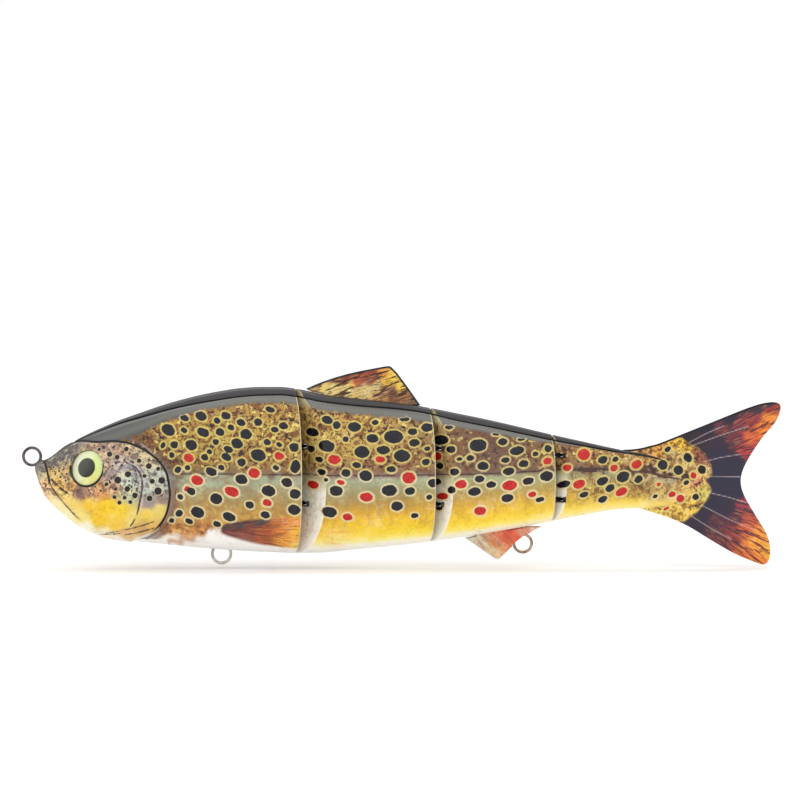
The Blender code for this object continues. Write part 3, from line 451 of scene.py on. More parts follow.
TAIL_ROOT_COLOURS = [
    (247.0, 2.2, (214, 158, 80)), (253.0, 3.6, (226, 160, 66)), (259.0, 5.4, (240, 186, 56)),
    (263.0, 5.0, (246, 196, 52)), (259.0, 0.6, (206, 176, 110)), (252.0, -6.0, (186, 160, 104)),
    (258.0, -9.0, (176, 160, 120)), (265.0, -3.0, (216, 186, 112)), (270.0, -1.0, (150, 90, 66)),
    (268.0, -9.4, (226, 150, 106)), (272.4, -7.4, (232, 196, 116)), (262.0, -12.6, (226, 182, 100)),
    (255.0, -15.0, (214, 182, 104)), (248.0, -14.0, (196, 170, 96)), (262.0, -19.6, (238, 196, 84)),
    (268.0, -19.6, (240, 202, 78)), (271.0, -14.6, (206, 190, 92)), (254.0, -21.6, (240, 208, 96)),
    (264.0, -24.0, (232, 190, 70)), (246.0, -20.0, (240, 214, 120)),
]
TAIL_COLOURS = [
    (262.0, 8.4, (40, 36, 48)), (272.0, 11.4, (42, 38, 52)), (282.0, 15.6, (58, 46, 64)),
    (292.0, 19.6, (86, 54, 62)), (270.0, 7.0, (66, 44, 52)), (276.0, 6.0, (70, 50, 66)),
    (278.0, 11.0, (128, 50, 60)), (285.0, 13.0, (136, 50, 62)), (292.0, 15.6, (146, 54, 56)),
    (298.0, 19.4, (150, 52, 44)), (284.0, 7.0, (122, 46, 62)), (290.0, 8.6, (206, 88, 46)),
    (295.0, 11.6, (236, 126, 44)), (297.6, 15.4, (236, 140, 50)), (288.0, 2.4, (172, 54, 56)),
    (277.0, 1.0, (58, 54, 78)), (284.0, -2.0, (56, 52, 76)), (278.0, -6.0, (54, 52, 78)),
    (284.0, -9.4, (56, 54, 80)), (277.0, -13.0, (56, 54, 80)), (284.0, -14.6, (58, 54, 80)),
    (276.0, -19.0, (54, 50, 74)), (281.0, -20.6, (66, 52, 74)), (270.0, -24.6, (58, 50, 68)),
    (287.0, -19.6, (150, 56, 70)), (284.0, -25.0, (118, 50, 66)), (276.0, -26.6, (112, 50, 64)),
    (290.0, -24.0, (176, 76, 56)), (288.0, -29.6, (206, 90, 50)), (294.6, -31.6, (236, 150, 56)),
    (292.0, -35.6, (240, 158, 50)), (296.6, -38.6, (246, 176, 56)), (283.0, -32.6, (150, 60, 56)),
    (289.0, -38.6, (216, 110, 50)), (279.0, -33.4, (120, 48, 56)), (294.0, -42.0, (232, 130, 50)),
]
TAIL_ROOT_EDGE = [
    (262.4, 7.6), (264.6, 5.6), (268.6, 3.6), (271.8, 0.8), (274.2, -3.5), (274.6, -7.4), (272.0, -9.6),
    (273.4, -11.4), (274.4, -13.6), (272.9, -17.1), (268.6, -22.5), (263.2, -26.4),
]
TAIL_RAYS = [
    [(265.3, 5.6), (272.0, 9.2), (279.4, 12.4)], [(266.4, 4.3), (277.0, 8.2), (289.1, 12.1)],
    [(271.0, -2.2), (278.0, -0.4), (286.8, 1.0)], [(273.0, -8.0), (285.9, -8.2)],
    [(273.5, -14.6), (281.0, -16.4), (288.6, -18.7)], [(270.2, -19.6), (281.0, -25.2), (292.0, -29.8)],
    [(265.3, -23.4), (274.0, -29.0), (282.6, -33.6)],
]
DORSAL_COLOURS = [
    (113.0, 27.6, (190, 150, 96)), (117.0, 28.8, (226, 198, 112)), (122.0, 28.6, (224, 204, 124)),
    (128.0, 27.6, (222, 204, 124)), (122.0, 31.0, (112, 62, 42)), (127.0, 31.6, (130, 58, 36)),
    (132.0, 32.8, (146, 62, 36)), (137.0, 33.6, (150, 70, 38)), (142.0, 34.8, (222, 150, 56)),
    (131.0, 30.4, (168, 80, 44)), (137.0, 31.2, (128, 60, 38)), (129.0, 29.2, (226, 172, 78)),
    (139.0, 28.2, (206, 186, 120)), (134.0, 26.6, (214, 190, 118)), (146.0, 32.4, (236, 196, 72)),
    (143.0, 30.0, (226, 176, 64)), (149.0, 28.0, (232, 194, 70)), (145.6, 25.8, (108, 66, 44)),
    (151.0, 24.6, (150, 98, 54)), (141.0, 25.2, (190, 136, 70)), (154.0, 22.0, (112, 86, 62)),
]
ANAL_COLOURS = [
    (177.0, -34.2, (208, 200, 176)), (182.0, -36.0, (206, 192, 160)), (186.0, -38.4, (212, 190, 150)),
    (188.6, -40.2, (236, 204, 160)), (190.6, -37.6, (220, 150, 96)), (187.4, -35.0, (204, 126, 82)),
    (191.4, -32.6, (214, 84, 60)), (195.0, -33.6, (222, 92, 62)), (193.0, -35.8, (222, 120, 76)),
    (199.0, -30.8, (224, 150, 120)), (203.6, -29.4, (236, 200, 176)),
]

# --- meshes ----------------------------------------------------------------------------------------------


def relief(x, z):
    """How far the moulded head stands out of the smooth body, and its grooves, in millimetres."""
    gap = to_loop(x, z, FACE)
    plate = 0.55 * (1 - smooth_step(gap, -0.9, 0.15)) * smooth_step(x, 17.0, 30.0)
    groove = -0.4 * bell(to_line(x, z, GILL), 0.5)
    cheek_gap = to_line(x, z, CHEEK_LINE)
    cheek = 0.3 * bell(cheek_gap, 0.8) - 0.25 * bell(cheek_gap - 1.5, 0.6)
    mouth = -0.5 * bell(to_line(x, z, MOUTH), 0.45)
    lip = -0.35 * bell(to_line(x, z, LIP), 0.5)
    strip = 0.3 * bell(to_line(x, z, (MOUTH + LIP[: len(MOUTH)]) / 2), 1.2)
    snout = -0.3 * bell(to_line(x, z, SNOUT), 0.5)
    throat = sum(-0.2 * bell(to_line(x, z, line), 0.45) for line in THROAT_LINES)
    out = plate + groove + cheek + mouth + lip + strip + snout + throat
    return np.where(x < 62.0, out, 0.0)


def rim_steps(radius):
    """(distance from the rim, inset) of a rounded rim's columns."""
    turn = np.radians([90, 68, 45, 22, 0])
    return list(zip(radius * (1 - np.sin(turn)), radius * (1 - np.cos(turn))))


def half_shell(name, front, rear, spacing, rows):
    """The left half of a section as one closed mesh: its skin, its two end faces and the seam's face."""
    lower, upper, crown = rows
    angles = np.concatenate([
        even_angles(math.pi / 2, 0, 16, 31, BELLY_POWER, lower)[:-1],
        even_angles(0, LAST_ANGLE, 16, 33, 2.0, upper),
        np.linspace(0, math.pi / 2, crown)[1:],
    ])
    zones = np.concatenate([np.zeros(lower - 1, int), np.ones(upper, int), np.full(crown - 1, 2)])
    crease_row = lower - 1 + upper - 1

    def column(x_of, shift, inset):
        x = np.full(len(angles), float(shift) + (JOINT_X[front] if front else NOSE_X))
        for _ in range(12):
            y, _ = skin_point(x, zones, angles, inset)
            x = x_of(np.maximum(y, SEAM)) + shift
        return x

    def first_x(y):
        return nose_x(front, y) if front else np.full_like(y, NOSE_X)

    def last_x(y):
        return socket_x(rear, y) if rear else np.full_like(y, BODY_END_X)

    front_rim = rim_steps(0.5 if front else 0.35)
    rear_rim = rim_steps(0.45 if rear else 0.2)
    columns = [(column(first_x, d, inset), inset) for d, inset in front_rim]
    ends = [(column(last_x, -d, inset), inset) for d, inset in rear_rim][::-1]
    start, stop = columns[-1][0], ends[0][0]
    count = int((stop - start).mean() / spacing)
    power = 1.0 if front else 1.15
    for u in (np.arange(1, count) / count) ** power:
        columns.append((start + (stop - start) * u, 0.0))
    columns += ends
    skin = []
    for x, inset in columns:
        y, z = skin_point(x, zones, angles, inset)
        skin.append(np.stack([x, -np.maximum(y, SEAM), z], axis=1))
    skin = np.array(skin)
    along, around = np.gradient(skin, axis=0), np.gradient(skin, axis=1)
    normal = np.cross(along, around)
    normal /= np.maximum(np.linalg.norm(normal, axis=2, keepdims=True), 1e-9)
    normal *= np.where(normal[..., 1:2].mean() > 0, -1, 1)
    push = relief(skin[..., 0], skin[..., 2]) if not front else np.zeros(skin.shape[:2])
    push[:, crease_row] -= np.minimum(0.3, 0.2 * crease_depth(skin[:, crease_row, 0]))
    skin = skin + normal * push[..., None]
    skin[..., 1] = np.minimum(skin[..., 1], -SEAM)

    cols, n = skin.shape[:2]
    faces, points, base = grid_faces(0, cols, n), [skin.reshape(-1, 3)], cols * n
    for edge, x_of, flip in ((skin[0], first_x, False), (skin[-1], last_x, True)):
        shares = np.linspace(1, 0, 22) ** 1.5
        y = SEAM + (-edge[:, 1] - SEAM)[None] * shares[:, None]
        z = np.broadcast_to(edge[:, 2], y.shape)
        x = x_of(y)
        x = np.where(shares[:, None] == 1, edge[:, 0], x)
        sheet = np.stack([x, -y, z], axis=2)
        points.append(sheet.reshape(-1, 3))
        faces += grid_faces(base, len(shares), n, not flip)
        base += len(shares) * n
    return mesh_from(name, np.concatenate(points), faces, fill=True)


def grid_faces(base, cols, n, flip=False):
    """The four-sided faces of a grid of points, whose first point is number base."""
    i, k = np.meshgrid(np.arange(cols - 1), np.arange(n - 1), indexing="ij")
    a = base + i * n + k
    quads = np.stack([a, a + n, a + n + 1, a + 1], axis=2).reshape(-1, 4)
    return (quads[:, ::-1] if flip else quads).tolist()


def mesh_from(name, points, faces, fill=False):
    mesh = bpy.data.meshes.new(name)
    mesh.from_pydata((np.asarray(points) * MM).tolist(), [], faces)
    shape = bmesh.new()
    shape.from_mesh(mesh)
    bmesh.ops.remove_doubles(shape, verts=shape.verts, dist=2e-6)
    bmesh.ops.dissolve_degenerate(shape, dist=1e-6, edges=shape.edges)
    if fill:
        open_edges = [edge for edge in shape.edges if edge.is_boundary]
        bmesh.ops.holes_fill(shape, edges=open_edges, sides=0)
    bmesh.ops.recalc_face_normals(shape, faces=shape.faces)
    shape.to_mesh(mesh)
    shape.free()
    return mesh


def new_object(name, data):
    made = bpy.data.objects.new(name, data)
    bpy.context.scene.collection.objects.link(made)
    return made


def primitive(name, kind, matrix, **sizes):
    getattr(bpy.ops.mesh, f"primitive_{kind}_add")(**sizes)
    made = bpy.context.object
    made.name = name
    made.data.name = name
    made.data.transform(matrix)
    return made


def block(name, low, high):
    low, high = Vector(low) * MM, Vector(high) * MM
    place = Matrix.Translation((low + high) / 2) @ Matrix.Diagonal((*(high - low), 1))
    return primitive(name, "cube", place, size=1)


def turned(normal):
    return Vector(normal).to_track_quat("Z", "Y").to_matrix().to_4x4()


def rod(name, start, end, radius, sides=24):
    start, end = Vector(start) * MM, Vector(end) * MM
    place = Matrix.Translation((start + end) / 2) @ turned(end - start)
    return primitive(name, "cylinder", place, vertices=sides, radius=radius * MM, depth=(end - start).length)


def ring(name, centre, normal, radius, wire, around=64, across=18):
    place = Matrix.Translation(Vector(centre) * MM) @ turned(normal)
    return primitive(
        name, "torus", place,
        major_segments=around, minor_segments=across, major_radius=radius * MM, minor_radius=wire * MM,
    )


def combine(obj, others, operation):
    """Joins the others to an object or cuts them from it, and deletes them."""
    for other in others:
        step = obj.modifiers.new(other.name, "BOOLEAN")
        step.operation = operation
        step.solver = "EXACT"
        step.object = other
    bpy.context.view_layer.update()
    seen = obj.evaluated_get(bpy.context.evaluated_depsgraph_get())
    mesh = bpy.data.meshes.new_from_object(seen)
    obj.modifiers.clear()
    obj.data = mesh
    for other in others:
        bpy.data.objects.remove(other)
    return obj


def points_of(mesh):
    co = np.empty(len(mesh.vertices) * 3, np.float32)
    mesh.vertices.foreach_get("co", co)
    return co.reshape(-1, 3).astype(float) / MM


def store(mesh, name, values, kind="FLOAT"):
    """Keeps one value for each vertex, for the materials to read."""
    layer = mesh.attributes.new(name, kind, "POINT")
    field = {"FLOAT": "value", "FLOAT_VECTOR": "vector", "FLOAT_COLOR": "color"}[kind]
    if kind == "FLOAT_COLOR":
        values = np.concatenate([linear(values), np.ones((len(values), 1))], axis=1)
    layer.data.foreach_set(field, np.ascontiguousarray(values, np.float32).ravel())


# The print's layers, some carrying painted shade or highlight, each with the value that leaves it out: amounts
# from 0 to 1, and distances.
LAYERS = {
    "verm": 0, "grain": 0, "mint": 0, "cheek": 0, "streak": 0, "dark": FAR, "dots": FAR,
    "red": FAR, "line": FAR, "brown": FAR, "pale": FAR, "rim": FAR, "crown": 0, "patch": 0,
}


def store_print(mesh, paint, under, flow, **layers):
    store(mesh, "paint", paint, "FLOAT_COLOR")
    store(mesh, "under", under, "FLOAT_COLOR")
    store(mesh, "flow", flow, "FLOAT_VECTOR")
    for name, left_out in LAYERS.items():
        store(mesh, name, np.clip(layers.get(name, np.full(len(paint), left_out, float)), -FAR, FAR))


def mirrored(obj, name):
    mesh = obj.data.copy()
    mesh.name = name
    mesh.transform(Matrix.Diagonal((1, -1, 1, 1)))
    mesh.flip_normals()
    return new_object(name, mesh)


# --- the painted pattern ---------------------------------------------------------------------------------


def flank_colour(x, z):
    low, high = belly(x), back(x)
    top, middle = high - crease_depth(x), lateral(x)
    level = np.where(
        z < middle, 0.5 * (z - low) / np.maximum(middle - low, 0.1),
        0.5 + 0.5 * (z - middle) / np.maximum(top - middle, 0.1),
    )
    uneven = 0.006 + 0.018 * (1 - smooth_step(x, 100.0, 112.0))
    level = level + uneven * ripple(x, z, 4.5) * np.clip(level / 0.06, 0, 1)
    level = np.clip(level, 0, 1)
    stations = sorted(FLANKS)
    shades = []
    for station in stations:
        heights, colours = zip(*FLANKS[station])
        colours = np.array(colours, float)
        shades.append(np.stack([np.interp(level, heights, colours[:, c]) for c in range(3)], axis=-1))
    place = np.interp(x, stations, np.arange(len(stations)))
    first = np.minimum(place.astype(int), len(stations) - 2)
    share = (place - first)[..., None]
    shades = np.array(shades)
    index = np.arange(len(x))
    return level, shades[first, index] * (1 - share) + shades[first + 1, index] * share


def paint_body(mesh, front, rear):
    """Works out the print, with its painted shade and highlights, at every vertex of a half shell from where
    it lies on the side view.
    """
    x, y, z = points_of(mesh).T
    far = np.full(len(x), FAR)
    level, colour = flank_colour(x, z)
    low, high = belly(x), back(x)
    top = high - crease_depth(x)
    below_crease = top - z
    verm = smooth_step(level, 0.49, 0.56) * (1 - smooth_step(level, 0.97, 1.0))
    verm = verm * (1 - 0.35 * smooth_step(x, 166.0, 172.0) * (1 - smooth_step(x, 192.0, 204.0)))
    verm = np.maximum(verm, 0.75 * smooth_step(x, 213.0, 222.0) * smooth_step(level, 0.08, 0.26))
    grain = smooth_step(level, 0.08, 0.2) * (1 - smooth_step(level, 0.36, 0.46))
    mint = bell(level - 0.43, 0.06)

    blotches = bell(z + 28.5 + 0.04 * (x - 60), 2.6) * (x < 84) * (x > 52)
    colour = lay(colour, (214, 124, 48), 0.5 * blotches)
    verm = np.maximum(verm, 0.75 * blotches)

    breast = to_loop(x, z, BREAST) + 1.1 * ripple(x, z, 4.0)
    white = (1 - smooth_step(breast, -0.8, 0.8)) * (x < 112)
    colour = lay(colour, (253, 251, 247), white)
    verm = verm * (1 - white)
    colour = lay(colour, (176, 98, 46), 0.5 * bell(breast, 1.3) * (x > 55) * (x < 80))

    # The grey band under the crease, then the dark crown above it.
    edge = band_depth(x) * (1 + 0.10 * ripple(x, z, 3.0))
    band = 1 - smooth_step(below_crease, 0.72 * edge, 1.15 * edge)
    colour = lay(colour, (98, 97, 92), band)
    colour = lay(colour, (62, 62, 60), 0.65 * band * (1 - smooth_step(x, 36.0, 88.0)))
    # Painted highlight: a lighter grey streak along the middle of the grey band.
    painted_sheen = np.exp(-(((below_crease / band_depth(x)) - 0.55) ** 2) / 0.06)
    colour = lay(colour, (122, 122, 116), 0.5 * band * painted_sheen)
    verm = verm * (1 - band)
    crown = smooth_step(-below_crease, -0.15, 0.15)
    colour = lay(colour, (60, 57, 59), crown)

    # The head: its own colours inside the gill plate, and bands of painted shadow around the raised plate.
    face = np.where(x < 62.0, to_loop(x, z, FACE), 9.0)
    inside = 1 - smooth_step(face, -0.5, 0.1)
    inside = inside * (1 - crown)
    colour = lay(colour, blend_anchors(x, z, FACE_COLOURS, 2.2), inside)
    behind = (x > 40.0) & (z > -33.0)
    # Painted shadow of the raised gill plate: a dark lilac band and a brown band just outside its edge.
    painted_gill_shadow = bell(face - 1.3, 0.8) * behind
    colour = lay(colour, (112, 98, 108), 0.9 * painted_gill_shadow)
    colour = lay(colour, (92, 66, 58), 0.6 * bell(face - 3.0, 1.1) * behind * (z < 2))
    shoulder = bell(face - 4.6, 3.4) * smooth_step(z, -9.0, -3.0) * (x > 38.0)
    shoulder = shoulder * (1 - band) * (1 - crown)
    colour = lay(colour, (86, 58, 38), 0.6 * shoulder * (face > 0))
    verm = verm * (1 - inside)
    grain = grain * (1 - inside)
    root = smooth_step(x, 243.0, 251.0) * (1 - crown)
    colour = lay(colour, blend_anchors(x, z, TAIL_ROOT_COLOURS, 2.4), root)
    mint = mint * (1 - inside)
    cheek = inside * smooth_step(z, -19.0, -13.0)

    # The printed fin on the breast, with streaks that run along it.
    pectoral = to_loop(x, z, PECTORAL)
    fin = (1 - smooth_step(pectoral, -0.7, 0.5)) * (x < 112) * (x > 70) * (not front)
    trail = smooth_step(x, 116.0, 121.0) * (1 - smooth_step(x, 124.0, 131.0)) * bell(z + 31.5, 3.4)
    colour = lay(colour, (250, 226, 150), 0.6 * trail)
    colour = lay(colour, blend_anchors(x, z, PECTORAL_COLOURS, 2.0), fin)
    angle = np.arctan2(z + 28.6, x - 70.0)
    flow = np.stack([0.09 * x, 26.0 * angle, 0.1 * y], axis=1)
    streak = np.maximum(0.9 * fin, 0.55 * trail)
    under = lay((92, 40, 34), (244, 170, 60), smooth_step(x, 90, 108))
    verm, grain = verm * (1 - fin), grain * (1 - fin)
    patch = smooth_step(level, 0.08, 0.16) * (1 - smooth_step(level, 0.46, 0.5))
    patch = patch * (1 - inside) * (1 - fin) * (1 - 0.75 * smooth_step(x, 104.0, 120.0))

    # Wedge faces fade to plain silver-beige low down and are painted lighter against their recess's shade;
    # slits, hollow ends and the seam's face get painted shade.
    painted_recess_shade = np.zeros(len(x))
    if front:
        wedge = (np.abs(x - nose_x(front, y)) < 0.2) & (np.abs(y) > 0.3)
        fade = wedge * (1 - smooth_step(level, 0.38, 0.5))
        height = np.clip((z - low) / (high - low), 0, 1)
        # Painted light: the wedge faces are lifted toward cream, and their low beige toward near white,
        # against the shade that falls in their recess.
        colour = lay(colour, (240, 216, 150), 0.35 * wedge)
        beige = lay((240, 236, 220), (255, 254, 250), 1 - 2.0 * height)
        colour = lay(colour, beige, 0.95 * fade)
        verm = verm * (1 - 0.2 * wedge)
        colour = lay(colour, (214, 196, 140), 0.5 * wedge * smooth_step(level, 0.85, 0.98))
        grain = grain * (1 - fade)
        for place in EYE_HEIGHTS[front]:
            slit = (np.abs(z - place) < SLIT_HEIGHT / 2 + 0.05) & (x < JOINT_X[front] + SLIT_REACH + 0.05)
            painted_recess_shade = np.maximum(painted_recess_shade, slit)
    if rear:
        hollow = (np.abs(x - socket_x(rear, y)) < 0.15).astype(float)
        painted_recess_shade = np.maximum(painted_recess_shade, 0.35 * hollow)
    seam = np.abs(y) < SEAM + 0.02
    painted_recess_shade = np.maximum(painted_recess_shade, 0.5 * seam)
    # Painted shade: slits, hollow socket faces and the seam's face are darkened where shade falls.
    colour = lay(colour, (48, 44, 42), painted_recess_shade)

    # A pale line along each rear rim: partly bare, unpainted rim and partly a painted highlight on its edge.
    rim = far
    if rear:
        rim = np.abs(socket_x(rear, y) - 0.25 - x)
        rim = np.where(below_crease < 0, rim + 1.0, rim)

    dark = to_ellipses(x, z, DARK_SPOTS)
    dots = far
    for cx, cz, size in CHEEK_DOTS:
        dots = np.minimum(dots, np.hypot(x - cx, z - cz) - size / 2)
    dark = np.where(band > 0.9, np.maximum(dark, 1.0), dark)
    red = to_ellipses(x, z, RED_SPOTS)

    # Dark lines, as the distance past each one's half width: drawn print, and painted shade along the crease,
    # the gill plate's edge and under the eye.
    # Painted shade: a black line along the crease, where the crown's small step would cast its shade.
    line = np.abs(below_crease) * 0.8 - np.minimum(0.24, 0.2 * crease_depth(x))
    if not front:
        # The gill line: a drawn dark outline that is also painted shade along the raised plate's edge.
        line = np.minimum(line, to_line(x, z, GILL) - 0.42 + 0.7 * smooth_step(-z, 26.0, 33.0))
        outer = np.where(behind, np.abs(face - 2.2) - 0.12, FAR)
        line = np.minimum(line, np.where(z > -30, outer, FAR))
        line = np.minimum(line, to_line(x, z, SNOUT) - 0.42)
        line = np.minimum(line, np.where(z < -3.4, to_line(x, z, CHEEK_LINE[18:]) - 0.05, FAR))
        # Painted shadow: a dark crescent under the eye, where the socket's edge casts its shade.
        crescent = np.hypot((x - EYE_X - 0.1) / 0.93, z - EYE_Z + 0.45) - 7.5
        line = np.minimum(line, np.where(z < EYE_Z + 1.0, crescent, FAR))
    brown = far
    if not front:
        brown = np.minimum(
            to_line(x, z, MOUTH) - 0.28 + 0.5 * smooth_step(x, 17.0, 23.0),
            to_line(x, z, LIP) - 0.4 + 0.7 * smooth_step(x, 13.0, 20.0),
        )
        brown = np.minimum(brown, to_line(x, z, CHEEK_LINE[:36]) - 0.34)
        for stripe in THROAT_LINES:
            brown = np.minimum(brown, to_line(x, z, stripe) - 0.24)
    side_line = np.abs(z - lateral(x)) - 0.3
    side_line = np.where((x > 57.5) & (inside < 0.5), side_line, FAR)
    brown = np.minimum(brown, side_line)
    if not rear:
        for smear in TAIL_SMEARS:
            brown = np.minimum(brown, to_line(x, z, smear) - 0.6)
    pale = far
    if not front:
        # Painted highlight: a pale line along the raised cheek ridge.
        pale = to_line(x, z, CHEEK_LINE[: 6 * 5] + (0.95, 0.0)) - 0.3
        pale = np.minimum(pale, to_line(x, z, spline([(44.7, 5.5), (48.4, 3.0), (51.0, -0.4)])) - 0.2)
    # The crease's painted shade line runs on into the tail.
    if not rear:
        line = np.minimum(line, to_line(x, z, RIDGE_END) - 0.15)

    store_print(
        mesh, colour, under, flow, verm=verm, grain=grain, mint=mint, cheek=cheek, streak=streak, dark=dark,
        dots=dots, red=red, line=line, brown=brown, pale=pale, rim=rim, crown=crown, patch=patch,
    )


def plate(name, outline, half_at, spacing):
    """An upright plate inside a closed outline. half_at(x, z, distance to the edge) is its half thickness."""
    loop = np.array(outline, float)
    low, high = loop.min(0), loop.max(0)
    grid = []
    for k, z in enumerate(np.arange(low[1], high[1], spacing * 0.87)):
        for x in np.arange(low[0] + (k % 2) * spacing / 2, high[0], spacing):
            grid.append((x, z))
    grid = np.array(grid)
    gap = to_loop(grid[:, 0], grid[:, 1], loop)
    inner = grid[gap < -0.55 * spacing]
    count = len(loop)
    points = [Vector(p) for p in loop] + [Vector(p) for p in inner]
    edges = [(i, (i + 1) % count) for i in range(count)]
    flat, _, faces, _, _, _ = delaunay_2d_cdt(points, edges, [list(range(count))], 1, 1e-5)
    flat = np.array([tuple(p) for p in flat])
    edge_gap = np.abs(to_loop(flat[:, 0], flat[:, 1], loop))
    half = half_at(flat[:, 0], flat[:, 1], edge_gap)
    near = np.stack([flat[:, 0], -half, flat[:, 1]], axis=1)
    far = near * (1, -1, 1)
    n = len(flat)
    both = [list(face) for face in faces] + [[n + i for i in reversed(face)] for face in faces]
    ends = {}
    for face in faces:
        for a, b in zip(face, [*face[1:], face[0]]):
            ends[(a, b)] = True
    for a, b in ends:
        if (b, a) not in ends:
            both.append([b, a, n + a, n + b])
    return mesh_from(name, np.concatenate([near, far]), both)


def dense(points, spacing):
    """A closed outline with points added along its long edges."""
    out = []
    for a, b in zip(points, [*points[1:], points[0]]):
        a, b = np.array(a, float), np.array(b, float)
        steps = max(int(np.hypot(*(b - a)) / spacing), 1)
        out += [tuple(a + (b - a) * t / steps) for t in range(steps)]
    return out


def paint_fin(mesh, colours, flow_of, edge_line, under, streak, spotted=None, reach=2.0):
    """A fin's print: colours from anchors, streaks along flow_of, and spots inside the loop spotted."""
    x, y, z = points_of(mesh).T
    colour = blend_anchors(x, z, colours, reach)
    layers = {"streak": np.full(len(x), streak)}
    if spotted is not None:
        root_gap = to_loop(x, z, spotted)
        root = 1 - smooth_step(root_gap, -0.4, 0.4)
        colour = lay(colour, blend_anchors(x, z, TAIL_ROOT_COLOURS, 2.4), root)
        layers["verm"] = 0.8 * root
        layers["streak"] = layers["streak"] * (1 - root) * smooth_step(colour.max(axis=1), 78, 120)
        layers["dark"] = np.where(root > 0.5, to_ellipses(x, z, DARK_SPOTS), FAR)
        layers["red"] = np.where(root > 0.5, to_ellipses(x, z, RED_SPOTS), FAR)
        shadow = (1 - root) * (1 - smooth_step(colour.max(axis=1), 84, 150))
        colour = lay(colour, (30, 24, 38), 0.5 * shadow)
    layers["line"], layers["pale"] = edge_line(x, z)
    store_print(mesh, colour, under(colour), flow_of(x, y, z), **layers)


# --- materials -------------------------------------------------------------------------------------------


class Graph:
    """A short way to write a material's nodes."""

    def __init__(self, name):
        self.material = bpy.data.materials.new(name)
        self.material.use_nodes = True
        self.tree = self.material.node_tree
        self.shader = self.tree.nodes["Principled BSDF"]

    def feed(self, socket, value):
        if isinstance(value, bpy.types.NodeSocket):
            self.tree.links.new(value, socket)
        elif isinstance(value, tuple) and len(value) == 3 and socket.type == "RGBA":
            socket.default_value = (*value, 1)
        else:
            socket.default_value = value

    def add(self, kind, **settings):
        node = self.tree.nodes.new(kind)
        for key, value in settings.items():
            setattr(node, key, value)
        return node

    def place(self):
        return self.add("ShaderNodeTexCoord").outputs["Object"]

    def value(self, name):
        return self.add("ShaderNodeAttribute", attribute_name=name).outputs["Fac"]

    def colour(self, name):
        return self.add("ShaderNodeAttribute", attribute_name=name).outputs["Color"]

    def vector(self, name):
        return self.add("ShaderNodeAttribute", attribute_name=name).outputs["Vector"]

    def math(self, operation, a, b=0.0, clamp=False):
        node = self.add("ShaderNodeMath", operation=operation, use_clamp=clamp)
        self.feed(node.inputs[0], a)
        self.feed(node.inputs[1], b)
        return node.outputs[0]

    def times(self, a, b):
        return self.math("MULTIPLY", a, b)

    def plus(self, a, b):
        return self.math("ADD", a, b)

    def swing(self, noise, size):
        """A noise about 0 instead of one half, this wide."""
        return self.times(self.math("SUBTRACT", noise, 0.5), size)

    def look(self, name, value):
        """One of the shader's own inputs."""
        self.feed(self.shader.inputs[name], value)

    def scaled(self, vector, factors):
        node = self.add("ShaderNodeVectorMath", operation="MULTIPLY")
        self.feed(node.inputs[0], vector)
        self.feed(node.inputs[1], factors)
        return node.outputs[0]

    def noise(self, vector, scale, detail=2.0, roughness=0.5, distortion=0.0):
        node = self.add("ShaderNodeTexNoise")
        self.feed(node.inputs["Vector"], vector)
        node.inputs["Scale"].default_value = scale
        node.inputs["Detail"].default_value = detail
        node.inputs["Roughness"].default_value = roughness
        node.inputs["Distortion"].default_value = distortion
        return node.outputs["Fac"]

    def step(self, value, low, high):
        """0 below low and 1 above high, or the other way round where low is the greater."""
        node = self.add("ShaderNodeMapRange", interpolation_type="SMOOTHSTEP")
        self.feed(node.inputs["Value"], value)
        turned_round = low > high
        node.inputs["From Min"].default_value = min(low, high)
        node.inputs["From Max"].default_value = max(low, high)
        node.inputs["To Min"].default_value = 1.0 if turned_round else 0.0
        node.inputs["To Max"].default_value = 0.0 if turned_round else 1.0
        return node.outputs["Result"]

    def mix(self, factor, a, b, blend="MIX"):
        node = self.add("ShaderNodeMix", data_type="RGBA", blend_type=blend)
        self.feed(node.inputs["Factor"], factor)
        self.feed(node.inputs[6], a)
        self.feed(node.inputs[7], b)
        return node.outputs[2]

    def bump(self, height, strength, distance, below=None):
        node = self.add("ShaderNodeBump")
        node.inputs["Strength"].default_value = strength
        node.inputs["Distance"].default_value = distance
        self.feed(node.inputs["Height"], height)
        if below is not None:
            self.feed(node.inputs["Normal"], below)
        return node.outputs["Normal"]


def tint(*colour):
    return tuple(float(c) for c in linear(colour))


